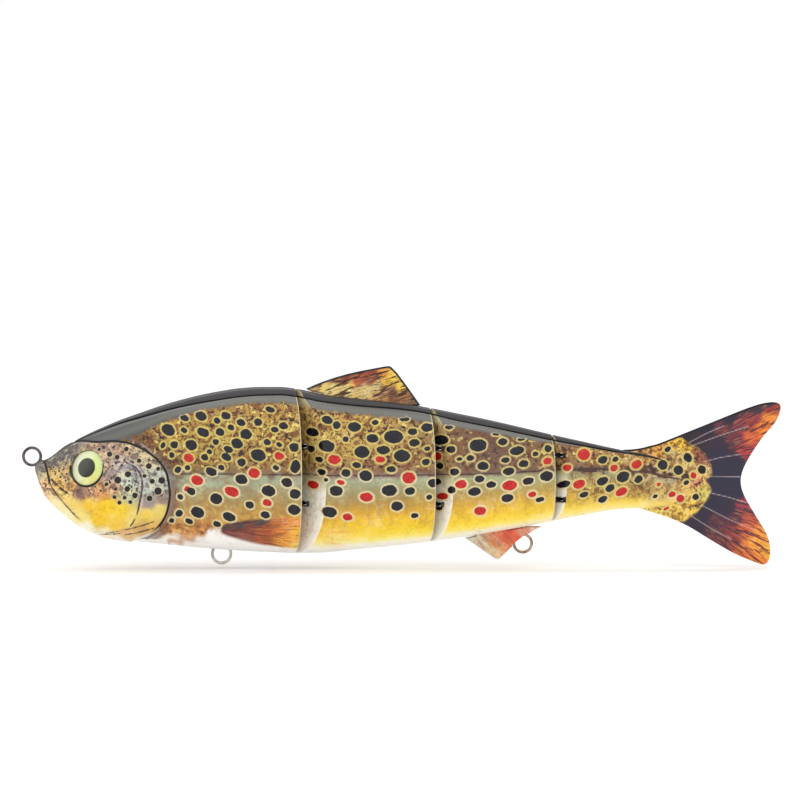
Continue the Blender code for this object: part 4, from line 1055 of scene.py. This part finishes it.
def printed_skin(name, roughness, coat):
    """Printed film under clear lacquer: spots with pale rings, speckles, drawn lines and streaks, with painted
    shade in some dark lines and a painted highlight on pale lines and rims.
    """
    g = Graph(name)
    place = g.place()
    base = g.colour("paint")
    broad = g.noise(place, 130, 3, 0.6)
    fine = g.noise(place, 950, 3, 0.6)
    shade = g.plus(g.swing(broad, 0.5), g.swing(fine, 0.45))
    brightness = g.add("ShaderNodeRGBToBW")
    g.feed(brightness.inputs["Color"], base)
    shade = g.times(shade, g.step(brightness.outputs["Val"], 0.06, 0.3))
    lighter = g.mix(g.step(shade, 0.0, 0.22), base, g.mix(0.4, base, tint(252, 244, 206)))
    darker = g.mix(0.5, base, g.mix(1.0, base, tint(150, 125, 105), "MULTIPLY"))
    base = g.mix(g.step(shade, 0.0, -0.25), lighter, darker)

    # Brown marbling of the upper flanks with pale flecks, upright smears in the yellow and tan, aqua patches
    # under the side line, mottles low on the flanks and on the cheek.
    verm, grain, mint, cheek, patch = (g.value(name) for name in ("verm", "grain", "mint", "cheek", "patch"))
    marble = g.noise(place, 380, 5, 0.66, 0.4)
    knots = g.noise(place, 430, 4, 0.62, 0.3)
    crumbs = g.noise(place, 880, 3, 0.6)
    flecks = g.noise(place, 420, 2, 0.5, 0.2)
    smears = g.noise(g.scaled(place, (1.0, 1.0, 0.22)), 420, 4, 0.65)
    patches = g.noise(place, 170, 3, 0.55)
    mottle = g.noise(place, 420, 4, 0.62, 0.3)
    specks = g.noise(place, 760, 3, 0.6)
    for noise, low, high, where, strength, colour in (
        (marble, 0.48, 0.56, verm, 0.88, (116, 62, 26)),
        (knots, 0.545, 0.6, verm, 1.0, (56, 28, 22)),
        (crumbs, 0.56, 0.61, verm, 0.85, (60, 32, 24)),
        (flecks, 0.38, 0.31, verm, 0.7, (236, 214, 120)),
        (smears, 0.5, 0.68, grain, 0.5, (168, 122, 66)),
        (smears, 0.46, 0.3, grain, 0.22, (250, 222, 120)),
        (patches, 0.48, 0.62, mint, 0.5, (160, 172, 144)),
        (mottle, 0.5, 0.58, patch, 0.5, (150, 106, 68)),
        (mottle, 0.5, 0.58, cheek, 0.72, (88, 62, 62)),
        (mottle, 0.44, 0.36, cheek, 0.6, (238, 210, 160)),
        (specks, 0.57, 0.62, cheek, 1.0, (40, 24, 30)),
    ):
        base = g.mix(g.times(g.step(noise, low, high), g.times(where, strength)), base, tint(*colour))

    # Streaks that run along fins.
    flow, streak = g.vector("flow"), g.value("streak")
    wide = g.noise(flow, 0.85, 3, 0.6, 0.15)
    thin = g.noise(flow, 2.1, 3, 0.6)
    base = g.mix(g.times(g.step(wide, 0.53, 0.575), streak), base, g.colour("under"))
    for low, high, strength, share, colour in (
        (0.54, 0.6, 0.8, 0.65, (52, 18, 22)),
        (0.44, 0.34, 0.5, 0.4, (255, 206, 110)),
    ):
        amount = g.times(g.step(thin, low, high), g.times(streak, strength))
        base = g.mix(amount, base, g.mix(share, base, tint(*colour)))

    # Drawn lines, and a pale line that on the head is a painted highlight along the cheek ridge.
    sway = g.swing(g.noise(place, 520, 2), 0.9)
    broken = g.step(g.noise(place, 240, 3, 0.6), 0.3, 0.42)
    brown = g.step(g.plus(g.value("brown"), g.times(sway, 0.6)), 0.2, -0.15)
    base = g.mix(g.times(brown, g.times(broken, 0.92)), base, tint(62, 34, 30))
    base = g.mix(g.times(g.step(g.value("pale"), 0.2, -0.15), 0.5), base, tint(222, 206, 204))

    # Spots, each with an uneven edge and a pale ring.
    wobble = g.plus(sway, g.swing(g.noise(place, 1500, 2), 0.25))
    dark = g.plus(g.value("dark"), wobble)
    red = g.plus(g.value("red"), wobble)
    dots = g.plus(g.value("dots"), g.times(wobble, 0.5))
    near = g.math("MINIMUM", dark, g.plus(red, -0.15))
    near = g.math("MINIMUM", near, g.plus(dots, 0.5))
    halo = g.times(g.step(near, 1.0, 0.3), 0.8)
    base = g.mix(halo, base, g.mix(verm, tint(222, 206, 158), tint(208, 188, 104)))
    inky = g.mix(g.step(g.noise(place, 700, 3, 0.6), 0.4, 0.75), tint(8, 8, 16), tint(32, 34, 48))
    rosy = g.mix(g.step(g.noise(place, 600, 3, 0.6), 0.4, 0.7), tint(176, 12, 14), tint(196, 44, 34))
    base = g.mix(g.step(red, 0.12, -0.12), base, rosy)
    base = g.mix(g.step(dark, 0.12, -0.12), base, inky)
    base = g.mix(g.step(dots, 0.14, -0.14), base, tint(22, 14, 22))
    # Dark lines: drawn print, and painted shade along the crease, the gill plate's edge and under the eye.
    base = g.mix(g.step(g.value("line"), 0.16, -0.1), base, tint(10, 9, 12))
    # Rims: a pale line, partly bare rim and partly a painted highlight on the edge.
    rim = g.times(g.step(g.value("rim"), 0.3, 0.12), 0.75)
    base = g.mix(rim, base, tint(214, 206, 180))

    g.look("Base Color", base)
    g.look("Roughness", g.plus(roughness, g.swing(fine, 0.18)))
    g.look("Coat Weight", coat)
    g.look("Coat Roughness", 0.07)
    g.look("Specular IOR Level", 0.2)
    print_edge = g.math("ADD", g.step(dark, 0.1, -0.1), g.step(red, 0.1, -0.1), clamp=True)
    peel = g.bump(g.noise(place, 260, 2), 0.12, 0.0002)
    film = g.bump(print_edge, 0.25, 0.00006, peel)
    scratches = g.noise(g.scaled(place, (0.2, 1.0, 1.0)), 3200, 2)
    g.look("Normal", g.bump(scratches, 0.06, 0.00005, film))
    return g.material


def steel(name, light, dark_tone, roughness, metallic=1.0):
    """Steel wire or turned steel, with patches of tarnish and a fine grit."""
    g = Graph(name)
    place = g.place()
    cloud = g.noise(place, 500, 4, 0.65)
    grit = g.noise(place, 3200, 2)
    base = g.mix(g.step(cloud, 0.35, 0.68), tint(*light), tint(*dark_tone))
    base = g.mix(g.times(g.step(grit, 0.5, 0.75), 0.35), base, tint(60, 56, 54))
    g.look("Base Color", base)
    g.look("Metallic", metallic)
    g.look("Roughness", g.plus(roughness, g.times(cloud, 0.16)))
    g.look("Normal", g.bump(grit, 0.2, 0.00004))
    return g.material


def eye_paint(name):
    """The printed disc: a dark pupil with painted shade across it, a bright iris with fine fibres, and a dark
    edge.
    """
    g = Graph(name)
    place = g.place()
    fibre = g.noise(g.vector("fibres"), 1.0, 3, 0.6)
    base = g.mix(g.times(g.step(fibre, 0.5, 0.7), 0.16), g.colour("paint"), tint(176, 178, 96))
    base = g.mix(g.times(g.step(fibre, 0.48, 0.3), 0.4), base, tint(255, 255, 226))
    pupil = g.value("pupil")
    base = g.mix(g.times(g.step(pupil, 0.45, 0.05), 0.3), base, tint(140, 142, 80))
    # Painted shade: the pupil is grey at its upper front and black at its lower rear.
    shaded_pupil = g.mix(g.step(g.value("shade"), -3.0, 2.6), tint(70, 70, 66), tint(2, 2, 2))
    shaded_pupil = g.mix(g.times(g.noise(place, 900, 2), 0.05), shaded_pupil, tint(120, 120, 112))
    base = g.mix(g.step(pupil, 0.1, -0.1), base, shaded_pupil)
    base = g.mix(g.times(g.step(g.value("edge"), 0.25, 0.05), 0.6), base, tint(96, 96, 60))
    g.look("Base Color", base)
    g.look("Specular IOR Level", 0.1)
    g.look("Roughness", g.plus(0.3, g.times(fibre, 0.12)))
    g.look("Normal", g.bump(fibre, 0.1, 0.00005))
    return g.material


def clear_plastic(name):
    """The clear dome: less see-through towards its rim, with faint rub marks."""
    g = Graph(name)
    place = g.place()
    facing = g.add("ShaderNodeLayerWeight")
    facing.inputs["Blend"].default_value = 0.25
    rub = g.noise(place, 1400, 3, 0.6)
    g.look("Base Color", (0.34, 0.38, 0.28, 1))
    g.look("Coat Weight", 0.4)
    g.look("Coat Roughness", 0.03)
    g.look("Specular IOR Level", 0.3)
    g.look("Alpha", g.plus(0.03, g.times(facing.outputs["Facing"], 0.4)))
    g.look("Roughness", g.plus(0.03, g.times(g.step(rub, 0.4, 0.9), 0.05)))
    g.look("Normal", g.bump(g.noise(place, 220, 2), 0.03, 0.0001))
    return g.material


def finish_piece(obj, material, body, nodes, smooth=32):
    obj.data.materials.clear()
    obj.data.materials.append(material)
    obj.data.shade_smooth()
    obj.data.set_sharp_from_angle(angle=math.radians(smooth))
    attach(obj, body)
    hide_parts(*nodes)


SKIN = printed_skin("printed_skin_lacquered", 0.3, 0.35)
FIN = printed_skin("printed_fin_lacquered", 0.34, 0.3)
TAIL = printed_skin("printed_tail_lacquered", 0.38, 0.25)
DARK_WIRE = steel("line_tie_wire", (112, 104, 104), (70, 62, 62), 0.22)
COPPER_WIRE = steel("warm_steel_wire", (196, 168, 146), (132, 104, 86), 0.24)
WHITE_WIRE = steel("painted_steel_wire", (214, 210, 200), (168, 162, 150), 0.4, 0.25)
HINGE = steel("blackened_hinge_steel", (74, 72, 70), (46, 44, 43), 0.4)
SLUG = steel("ballast_steel_turned", (120, 120, 122), (84, 82, 82), 0.42)
EYE_PRINT = eye_paint("eye_print_iris")
EYE_CLEAR = clear_plastic("eye_clear_dome")


# --- the sections ----------------------------------------------------------------------------------------


def outside_frame(name):
    """An outside wire eye: its centre, its anchor's centre, the way to the anchor and its radius."""
    centre, angle, length, radius = OUTSIDE_EYES[name]
    outer = Vector((centre[0], 0, centre[1]))
    towards = Vector((math.cos(angle), 0, math.sin(angle)))
    return outer, outer + towards * length, towards, radius


def outside_room(name, pocket=True):
    """The room an outside wire eye needs: a channel for its neck, and a pocket for its loop."""
    outer, anchor, towards, radius = outside_frame(name)
    room = rod(f"{name}_channel", outer + towards * (radius - WIRE_RADIUS), anchor, WIRE_RADIUS + FIT_GAP, 20)
    if not pocket:
        return [room]
    half = Vector((0, WIRE_RADIUS + POCKET_GAP, 0))
    disc = rod(f"{name}_pocket", outer - half, outer + half, radius + WIRE_RADIUS + POCKET_GAP, 48)
    return [combine(room, [disc], "UNION")]


def eye_place(side):
    """The centre of an eye's disc and the way it faces."""
    axis = Vector((
        -math.sin(EYE_FORWARD) * math.cos(EYE_UP),
        side * math.cos(EYE_FORWARD) * math.cos(EYE_UP),
        math.sin(EYE_UP),
    ))
    # The disc's own CAD box says where its seat is: its centre is half a disc's thickness above it.
    low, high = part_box(f"eye_iris_{'left' if side < 0 else 'right'}")
    return (low + high) / 2 / MM, axis


def eye_socket():
    middle, axis = eye_place(-1)
    seat = middle - axis * EYE_SEAT_DEPTH
    return rod("eye_room", seat, middle + axis * 12, EYE_RADIUS + EYE_SOCKET_GAP, 72)


def joint_room(joint):
    """Slits for the hinge eyes: wide open at the sides, and close about the loops on the pin."""
    x = JOINT_X[joint]
    room = []
    for i, height in enumerate(EYE_HEIGHTS[joint]):
        low, high = height - SLIT_HEIGHT / 2, height + SLIT_HEIGHT / 2
        for side in (-1, 1):
            near, far = sorted((SLIT_INNER * side, PAST_THE_SKIN * side))
            corners = (x - SLIT_AHEAD, near, low), (x + SLIT_REACH, far, high)
            room.append(block(f"{joint}_slit_{i}_{side}", *corners))
        low, high = height - LOOP_ROOM_HALF, height + LOOP_ROOM_HALF
        room.append(block(f"{joint}_slit_{i}_front", (x - SLIT_AHEAD, -2.0, low), (x, 2.0, high)))
        ends = (x, 0, height - 0.76), (x, 0, height + 0.76)
        room.append(rod(f"{joint}_slit_{i}_loop", *ends, LOOP_ROOM_RADIUS, 32))
    low, high = (end.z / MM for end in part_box(f"{joint}_hinge_pin"))
    room.append(rod(f"{joint}_bore", (x, 0, low - FIT_GAP), (x, 0, high + FIT_GAP), BORE_RADIUS, 20))
    return room


def fin_room(name, span, half, low, high):
    """The slot a fin's root needs."""
    return block(name, (span[0], -half, low), (span[1], half, high))


# Each section: its body, the joints before and behind it, the mesh's spacing along it, and its rows of
# points on the belly, the flank and the crown.
SECTIONS = {
    "head": ("head_section", None, "front", 0.5, (72, 76, 12)),
    "front_body": ("front_body_section", "front", "middle", 0.62, (56, 60, 12)),
    "rear_body": ("rear_body_section", "middle", "rear", 0.62, (48, 50, 10)),
    "tail": ("tail_section", "rear", None, 0.55, (36, 36, 9)),
}
CUTS = {
    "head": lambda: [eye_socket(), *outside_room("line_tie"), *outside_room("front_hook_hanger")],
    "front_body": lambda: [
        fin_room("dorsal_room", DORSAL_SPAN, DORSAL_HALF + FIN_GAP, 15, 60), *joint_room("front"),
    ],
    "rear_body": lambda: [
        fin_room("anal_room", ANAL_SPAN, ANAL_HALF + FIN_GAP, -60, -26),
        *outside_room("rear_hook_hanger", pocket=False), *joint_room("middle"),
    ],
    "tail": lambda: [
        fin_room("tail_room", TAIL_SPAN, TAIL_HALF + TAIL_FIN_GAP, -60, 60), *joint_room("rear"),
    ],
}
for label, (body, front, rear, spacing, rows) in SECTIONS.items():
    left = new_object(f"{label}_skin_left", half_shell(f"{label}_skin", front, rear, spacing, rows))
    combine(left, CUTS[label](), "DIFFERENCE")
    paint_body(left.data, front, rear)
    for side, half in (("left", left), ("right", mirrored(left, f"{label}_skin_right"))):
        finish_piece(half, SKIN, body, [f"{label}_shell_{side}"])

# --- the fins --------------------------------------------------------------------------------------------

DORSAL_EDGE = [
    (110.6, 27.3), (114.2, 29.0), (117.9, 30.4), (122.6, 32.0), (127.6, 33.4), (132.4, 34.5), (137.3, 35.4),
    (141.6, 36.2), (143.4, 36.5), (144.4, 36.5), (145.2, 36.0), (147.4, 33.8), (151.8, 27.9), (156.9, 20.6),
]
ANAL_EDGE = [
    (174.8, -32.9), (181.0, -37.2), (186.6, -41.1), (187.5, -41.5), (188.4, -41.6), (189.2, -41.1),
    (190.0, -40.2), (193.9, -36.4), (198.8, -32.3), (203.4, -29.5), (206.4, -28.0),
]
TAIL_EDGE = [
    (237.2, 1.2), (238.6, 2.62), (241.8, 2.84), (245.6, 3.3), (249.6, 4.3), (253.6, 5.4),
    (263.3, 9.3), (273.8, 13.5), (285.9, 18.4), (294.0, 21.2), (300.0, 21.9), (302.3, 20.0),
    (300.3, 14.1), (294.9, 7.6), (289.5, -0.6), (286.8, -6.4), (286.3, -11.2), (288.1, -16.7),
    (293.0, -25.0), (296.7, -31.3),
    (298.1, -36.3), (297.9, -41.2), (295.9, -43.6), (292.5, -42.9), (283.2, -39.0), (273.4, -33.3),
    (264.6, -28.0), (256.8, -24.6), (249.9, -22.4), (243.5, -20.4),
]


def off(line, x, rise):
    """The point of a body line at x, moved up by rise."""
    return x, float(line(x)) + rise


dorsal_loop = [
    *DORSAL_EDGE, off(back, 154.0, -0.4), off(back, 153.8, -3.0),
    *[off(back, x, -3.0) for x in np.linspace(148, 122, 8)],
    off(back, 117.2, -3.0), off(back, 117.2, 0.06), off(back, 113.0, 0.06),
]
anal_loop = [
    *ANAL_EDGE, off(belly, 200.0, -0.06), off(belly, 192.2, -0.06), off(belly, 192.0, 2.8),
    off(belly, 185.5, 2.8), off(belly, 179.0, 2.8), off(belly, 179.0, -0.1),
]
tail_loop = [tuple(p) for p in spline(TAIL_EDGE, 4)]
DORSAL_RAYS = [
    [(128.6, 26.0), (137.4, 31.4)], [(133.4, 25.2), (142.6, 30.6)], [(139.6, 24.2), (146.0, 27.8)],
]
ANAL_RAYS = [[(186.0, -31.8), (191.6, -37.2)], [(196.0, -29.6), (198.6, -32.2)]]


def rounded_edge(edge_gap, half, radius):
    """Half thickness of a plate whose outer edge is round."""
    t = np.clip(edge_gap / radius, 0, 1)
    return half * (0.25 + 0.75 * np.sqrt(1 - (1 - t) ** 2))


def near_any(x, z, lines):
    return np.min([to_line(x, z, np.array(line, float)) for line in lines], axis=0)


def dorsal_half(x, z, gap):
    above = z - back(x)
    half = DORSAL_HALF * np.clip(1 - above / 30.0, 0.5, 1)
    out = rounded_edge(gap, half, 0.7)
    frame_rim = np.where(above > 0.5, 0.16 * (1 - smooth_step(np.abs(gap - 0.7), 0.3, 0.6)), 0)
    rays = np.where(above > 0.5, 0.12 * bell(near_any(x, z, DORSAL_RAYS), 0.35), 0)
    return np.minimum(out + rays, DORSAL_HALF) + np.where(gap > 0.4, frame_rim, 0) * 0.6


def anal_half(x, z, gap):
    below = belly(x) - z
    half = ANAL_HALF * np.clip(1 - below / 13.0, 0.45, 1)
    rays = 0.15 * bell(near_any(x, z, ANAL_RAYS), 0.4) * (below > 0.5)
    return np.minimum(rounded_edge(gap, half, 0.8) + rays, ANAL_HALF)


def tail_half(x, z, gap):
    half = rounded_edge(gap, TAIL_HALF * np.clip(1.1 - (x - 262) / 90.0, 0.6, 1), 0.6)
    fan = np.arctan2(z + 9.0, x - 246.0)
    waves = 0.035 * np.cos(fan * 95.0) * smooth_step(x, 268, 278) * smooth_step(gap, 0.3, 2.0)
    rays = 0.1 * bell(near_any(x, z, TAIL_RAYS), 0.4) * smooth_step(gap, 0.2, 1.0)
    return np.where(x > 262, half + waves + rays, np.minimum(half, TAIL_HALF))


def dorsal_lines(x, z):
    edge = to_line(x, z, np.array(DORSAL_EDGE))
    return edge - 0.75, near_any(x, z, DORSAL_RAYS) - 0.12


def anal_lines(x, z):
    leading = to_line(x, z, np.array(ANAL_EDGE[:5])) - 0.5
    pale = np.minimum(leading, near_any(x, z, ANAL_RAYS) - 0.16)
    return np.full(len(x), FAR), pale


def tail_lines(x, z):
    upper = to_line(x, z, spline(TAIL_EDGE[1:11], 4)) - 0.75
    return np.where(x > 238, upper, FAR), near_any(x, z, TAIL_RAYS) - 0.17


def slanted(direction, squeeze):
    ux, uz = math.cos(direction), math.sin(direction)

    def flow(x, y, z):
        along, across = x * ux + z * uz, -x * uz + z * ux
        return np.stack([along * squeeze, across, 0.1 * y], axis=1)

    return flow


def tail_flow(x, y, z):
    angle = np.arctan2(z + 9.0, x - 246.0)
    return np.stack([0.11 * np.hypot(x - 246.0, z + 9.0), 42.0 * angle, 0.1 * y], axis=1)


def flat_under(colour):
    return lambda paint: np.broadcast_to(np.array(colour, float), paint.shape)


def tail_under(paint):
    return lay((54, 44, 62), (120, 46, 44), smooth_step(paint.sum(axis=1) / 3, 70, 150))


def cut_fin(name, loop, spacing, half_at, grid):
    return new_object(name, plate(name, dense(loop, spacing), half_at, grid))


dorsal = cut_fin("dorsal_fin_printed", dorsal_loop, 0.5, dorsal_half, 0.55)
dorsal_flow, dorsal_under = slanted(math.radians(17), 0.16), flat_under((66, 26, 18))
paint_fin(dorsal.data, DORSAL_COLOURS, dorsal_flow, dorsal_lines, dorsal_under, 0.97)
finish_piece(dorsal, FIN, "front_body_section", ["dorsal_fin"])

anal = cut_fin("anal_fin_printed", anal_loop, 0.5, anal_half, 0.55)
combine(anal, outside_room("rear_hook_hanger"), "DIFFERENCE")
anal_flow, anal_under = slanted(math.radians(-46), 0.16), flat_under((172, 84, 58))
paint_fin(anal.data, ANAL_COLOURS, anal_flow, anal_lines, anal_under, 0.5)
finish_piece(anal, FIN, "rear_body_section", ["anal_fin"])

tail = cut_fin("tail_fin_printed", tail_loop, 0.6, tail_half, 0.6)
root_loop = np.array([(230.0, 12.0), *TAIL_ROOT_EDGE, (230.0, -30.0)])
paint_fin(tail.data, TAIL_COLOURS, tail_flow, tail_lines, tail_under, 0.95, spotted=root_loop, reach=1.6)
finish_piece(tail, TAIL, "tail_section", ["tail_fin"])

# --- the eyes --------------------------------------------------------------------------------------------

IRIS_COLOURS = [
    (-6.0, 3.0, (255, 255, 226)), (-5.0, -4.0, (255, 255, 216)), (0.0, 6.6, (250, 255, 206)),
    (5.6, 3.6, (232, 248, 164)), (6.6, -1.6, (228, 242, 150)), (3.6, -5.6, (238, 230, 130)),
    (-1.6, -6.6, (248, 244, 166)),
]
IRIS_RINGS = np.concatenate([[0.0], np.linspace(0.4, EYE_RADIUS, 30)])
PUPIL_RADIUS, PUPIL_SHIFT = 3.95, Vector((-0.55, 0.0, 0.15))


def make_eye(side, label):
    """A flat printed disc, and a clear dome over it with a gap between them."""
    middle, axis = eye_place(side)
    turn = axis.to_track_quat("Z", "Y").to_matrix()
    count, half = EYE_SIDES, DISC_HALF
    tops = [(r, half) for r in IRIS_RINGS[1:]] + [(EYE_RADIUS, -half)]
    points = [(0, 0, half)]
    for r, up in tops:
        for t in np.arange(count) * 2 * math.pi / count:
            points.append((r * math.cos(t), r * math.sin(t), up))
    points.append((0, 0, -half))
    faces = [(0, 1 + k, 1 + (k + 1) % count) for k in range(count)]
    for i in range(len(tops) - 1):
        a, b = 1 + i * count, 1 + (i + 1) * count
        faces += [(a + k, b + k, b + (k + 1) % count, a + (k + 1) % count) for k in range(count)]
    a = 1 + (len(tops) - 1) * count
    faces += [(a + k, len(points) - 1, a + (k + 1) % count) for k in range(count)]
    world = [middle + turn @ Vector(p) for p in points]
    disc = new_object(f"eye_disc_{label}", mesh_from(f"eye_disc_{label}", [tuple(p) for p in world], faces))
    on_disc = points_of(disc.data) - np.array(middle)
    local = on_disc @ np.array(turn)
    x, z = on_disc[:, 0], on_disc[:, 2]
    away = np.hypot(local[:, 0], local[:, 1])
    shift = np.array(turn).T @ np.array(PUPIL_SHIFT - axis * PUPIL_SHIFT.dot(axis))
    pupil = np.hypot(local[:, 0] - shift[0], local[:, 1] - shift[1]) - PUPIL_RADIUS
    angle = np.arctan2(local[:, 1], local[:, 0])
    store(disc.data, "paint", blend_anchors(x, z, IRIS_COLOURS, 2.4), "FLOAT_COLOR")
    store(disc.data, "pupil", pupil)
    store(disc.data, "edge", np.clip(EYE_RADIUS - away, 0, 4))
    # The pupil's painted shade runs from its upper front to its lower rear.
    store(disc.data, "shade", 0.8 * x - 0.6 * z)
    fibres = np.stack([0.35 * away, 9.0 * np.cos(angle), 9.0 * np.sin(angle)], axis=1)
    store(disc.data, "fibres", fibres, "FLOAT_VECTOR")
    finish_piece(disc, EYE_PRINT, "head_section", [f"eye_iris_{label}"])

    sphere = (EYE_RADIUS**2 + LENS_RISE**2) / (2 * LENS_RISE)
    seat = middle + axis * (half + FIT_GAP)
    profile = [(r, 0.0) for r in np.linspace(0, EYE_RADIUS - 0.12, 5)] + [(EYE_RADIUS, 0.12)]
    for r in EYE_RADIUS * np.sqrt(np.linspace(1, 0, 22)):
        profile.append((r, LENS_EDGE + LENS_RISE - sphere + math.sqrt(sphere**2 - r**2)))
    shape = bmesh.new()
    rings = []
    for r, up in profile:
        if r < 1e-6:
            rings.append([shape.verts.new(seat + turn @ Vector((0, 0, up)))] * count)
            continue
        rings.append([
            shape.verts.new(seat + turn @ Vector((r * math.cos(t), r * math.sin(t), up)))
            for t in np.arange(count) * 2 * math.pi / count
        ])
    for first, second in zip(rings, rings[1:]):
        for k in range(count):
            corners = [first[k], first[(k + 1) % count], second[(k + 1) % count], second[k]]
            shape.faces.new(list(dict.fromkeys(corners)))
    bmesh.ops.scale(shape, vec=(MM, MM, MM), verts=shape.verts)
    bmesh.ops.recalc_face_normals(shape, faces=shape.faces)
    mesh = bpy.data.meshes.new(f"eye_dome_{label}")
    shape.to_mesh(mesh)
    shape.free()
    dome = new_object(f"eye_dome_{label}", mesh)
    finish_piece(dome, EYE_CLEAR, "head_section", [f"eye_lens_{label}"], 50)


make_eye(-1, "left")
make_eye(1, "right")

# --- wire, pins and ballast ------------------------------------------------------------------------------

for name, body, finish in (
    ("line_tie", "head_section", DARK_WIRE),
    ("front_hook_hanger", "head_section", WHITE_WIRE),
    ("rear_hook_hanger", "rear_body_section", COPPER_WIRE),
):
    outer, anchor, towards, radius = outside_frame(name)
    made = ring(f"{name}_wire", outer, (0, 1, 0), radius, WIRE_RADIUS)
    ends = outer + towards * radius, anchor - towards * ANCHOR_RADIUS
    neck = rod(f"{name}_neck", *ends, 0.94 * WIRE_RADIUS, 20)
    held = ring(f"{name}_held", anchor, (0, 1, 0), ANCHOR_RADIUS, WIRE_RADIUS, 40, 14)
    combine(made, [neck, held], "UNION")
    finish_piece(made, finish, body, [name], 45)
for name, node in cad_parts.items():
    if "ballast" in name or "hinge" in name:
        node.data.materials.clear()
        node.data.materials.append(SLUG if "ballast" in name else HINGE)

# --- floor, light and camera -----------------------------------------------------------------------------

PALE = (0.96, 0.96, 0.96)
g = Graph("pale_floor")
cloud = g.noise(g.place(), 3.0, 3, 0.6)
g.look("Base Color", g.mix(g.times(cloud, 0.3), PALE, tuple(0.93 * c for c in PALE)))
g.look("Roughness", 0.8)
g.look("Specular IOR Level", 0.0)
FLOOR_Z = cad_box[0][2] - 0.0015
floor = primitive("floor", "plane", Matrix.Translation((0.15, 0, FLOOR_Z)), size=60.0)
floor.data.materials.append(g.material)

world = bpy.data.worlds.new("studio")
bpy.context.scene.world = world
world.use_nodes = True
tree = world.node_tree
seen_light = tree.nodes.new("ShaderNodeMapRange")
seen_light.inputs["To Min"].default_value = 0.34
seen_light.inputs["To Max"].default_value = 1.0
tree.links.new(tree.nodes.new("ShaderNodeLightPath").outputs["Is Camera Ray"], seen_light.inputs["Value"])
tree.links.new(seen_light.outputs["Result"], tree.nodes["Background"].inputs["Strength"])
tree.nodes["Background"].inputs["Color"].default_value = (1, 1, 1, 1)

sun = bpy.data.lights.new("overhead_sky", "SUN")
sun.energy = 2.7
sun.angle = math.radians(150)
sky = new_object("overhead_sky", sun)
sky.rotation_euler = (math.radians(24), 0, 0)

lamp = bpy.data.lights.new("strip_softbox", "AREA")
lamp.shape = "RECTANGLE"
lamp.size, lamp.size_y = 1.3, 0.12
lamp.energy = 1.3
strip = new_object("strip_softbox", lamp)
strip.location = (0.15, 0.42, 0.9)
strip.rotation_euler = (Vector((0.15, 0, 0)) - strip.location).to_track_quat("-Z", "Y").to_euler()

camera = bpy.data.cameras.new("camera")
camera.lens = 200
camera.sensor_width = 36
camera.clip_end = 200
eye = new_object("camera", camera)
AIM = Vector((0.1486, 0, 0.0228))
ELEVATION = math.radians(1.5)
DISTANCE = 0.323 * camera.lens / camera.sensor_width
eye.location = AIM + DISTANCE * Vector((0, -math.cos(ELEVATION), math.sin(ELEVATION)))
eye.rotation_euler = (AIM - eye.location).to_track_quat("-Z", "Y").to_euler()
bpy.context.scene.camera = eye
bpy.context.scene.view_settings.view_transform = "Standard"
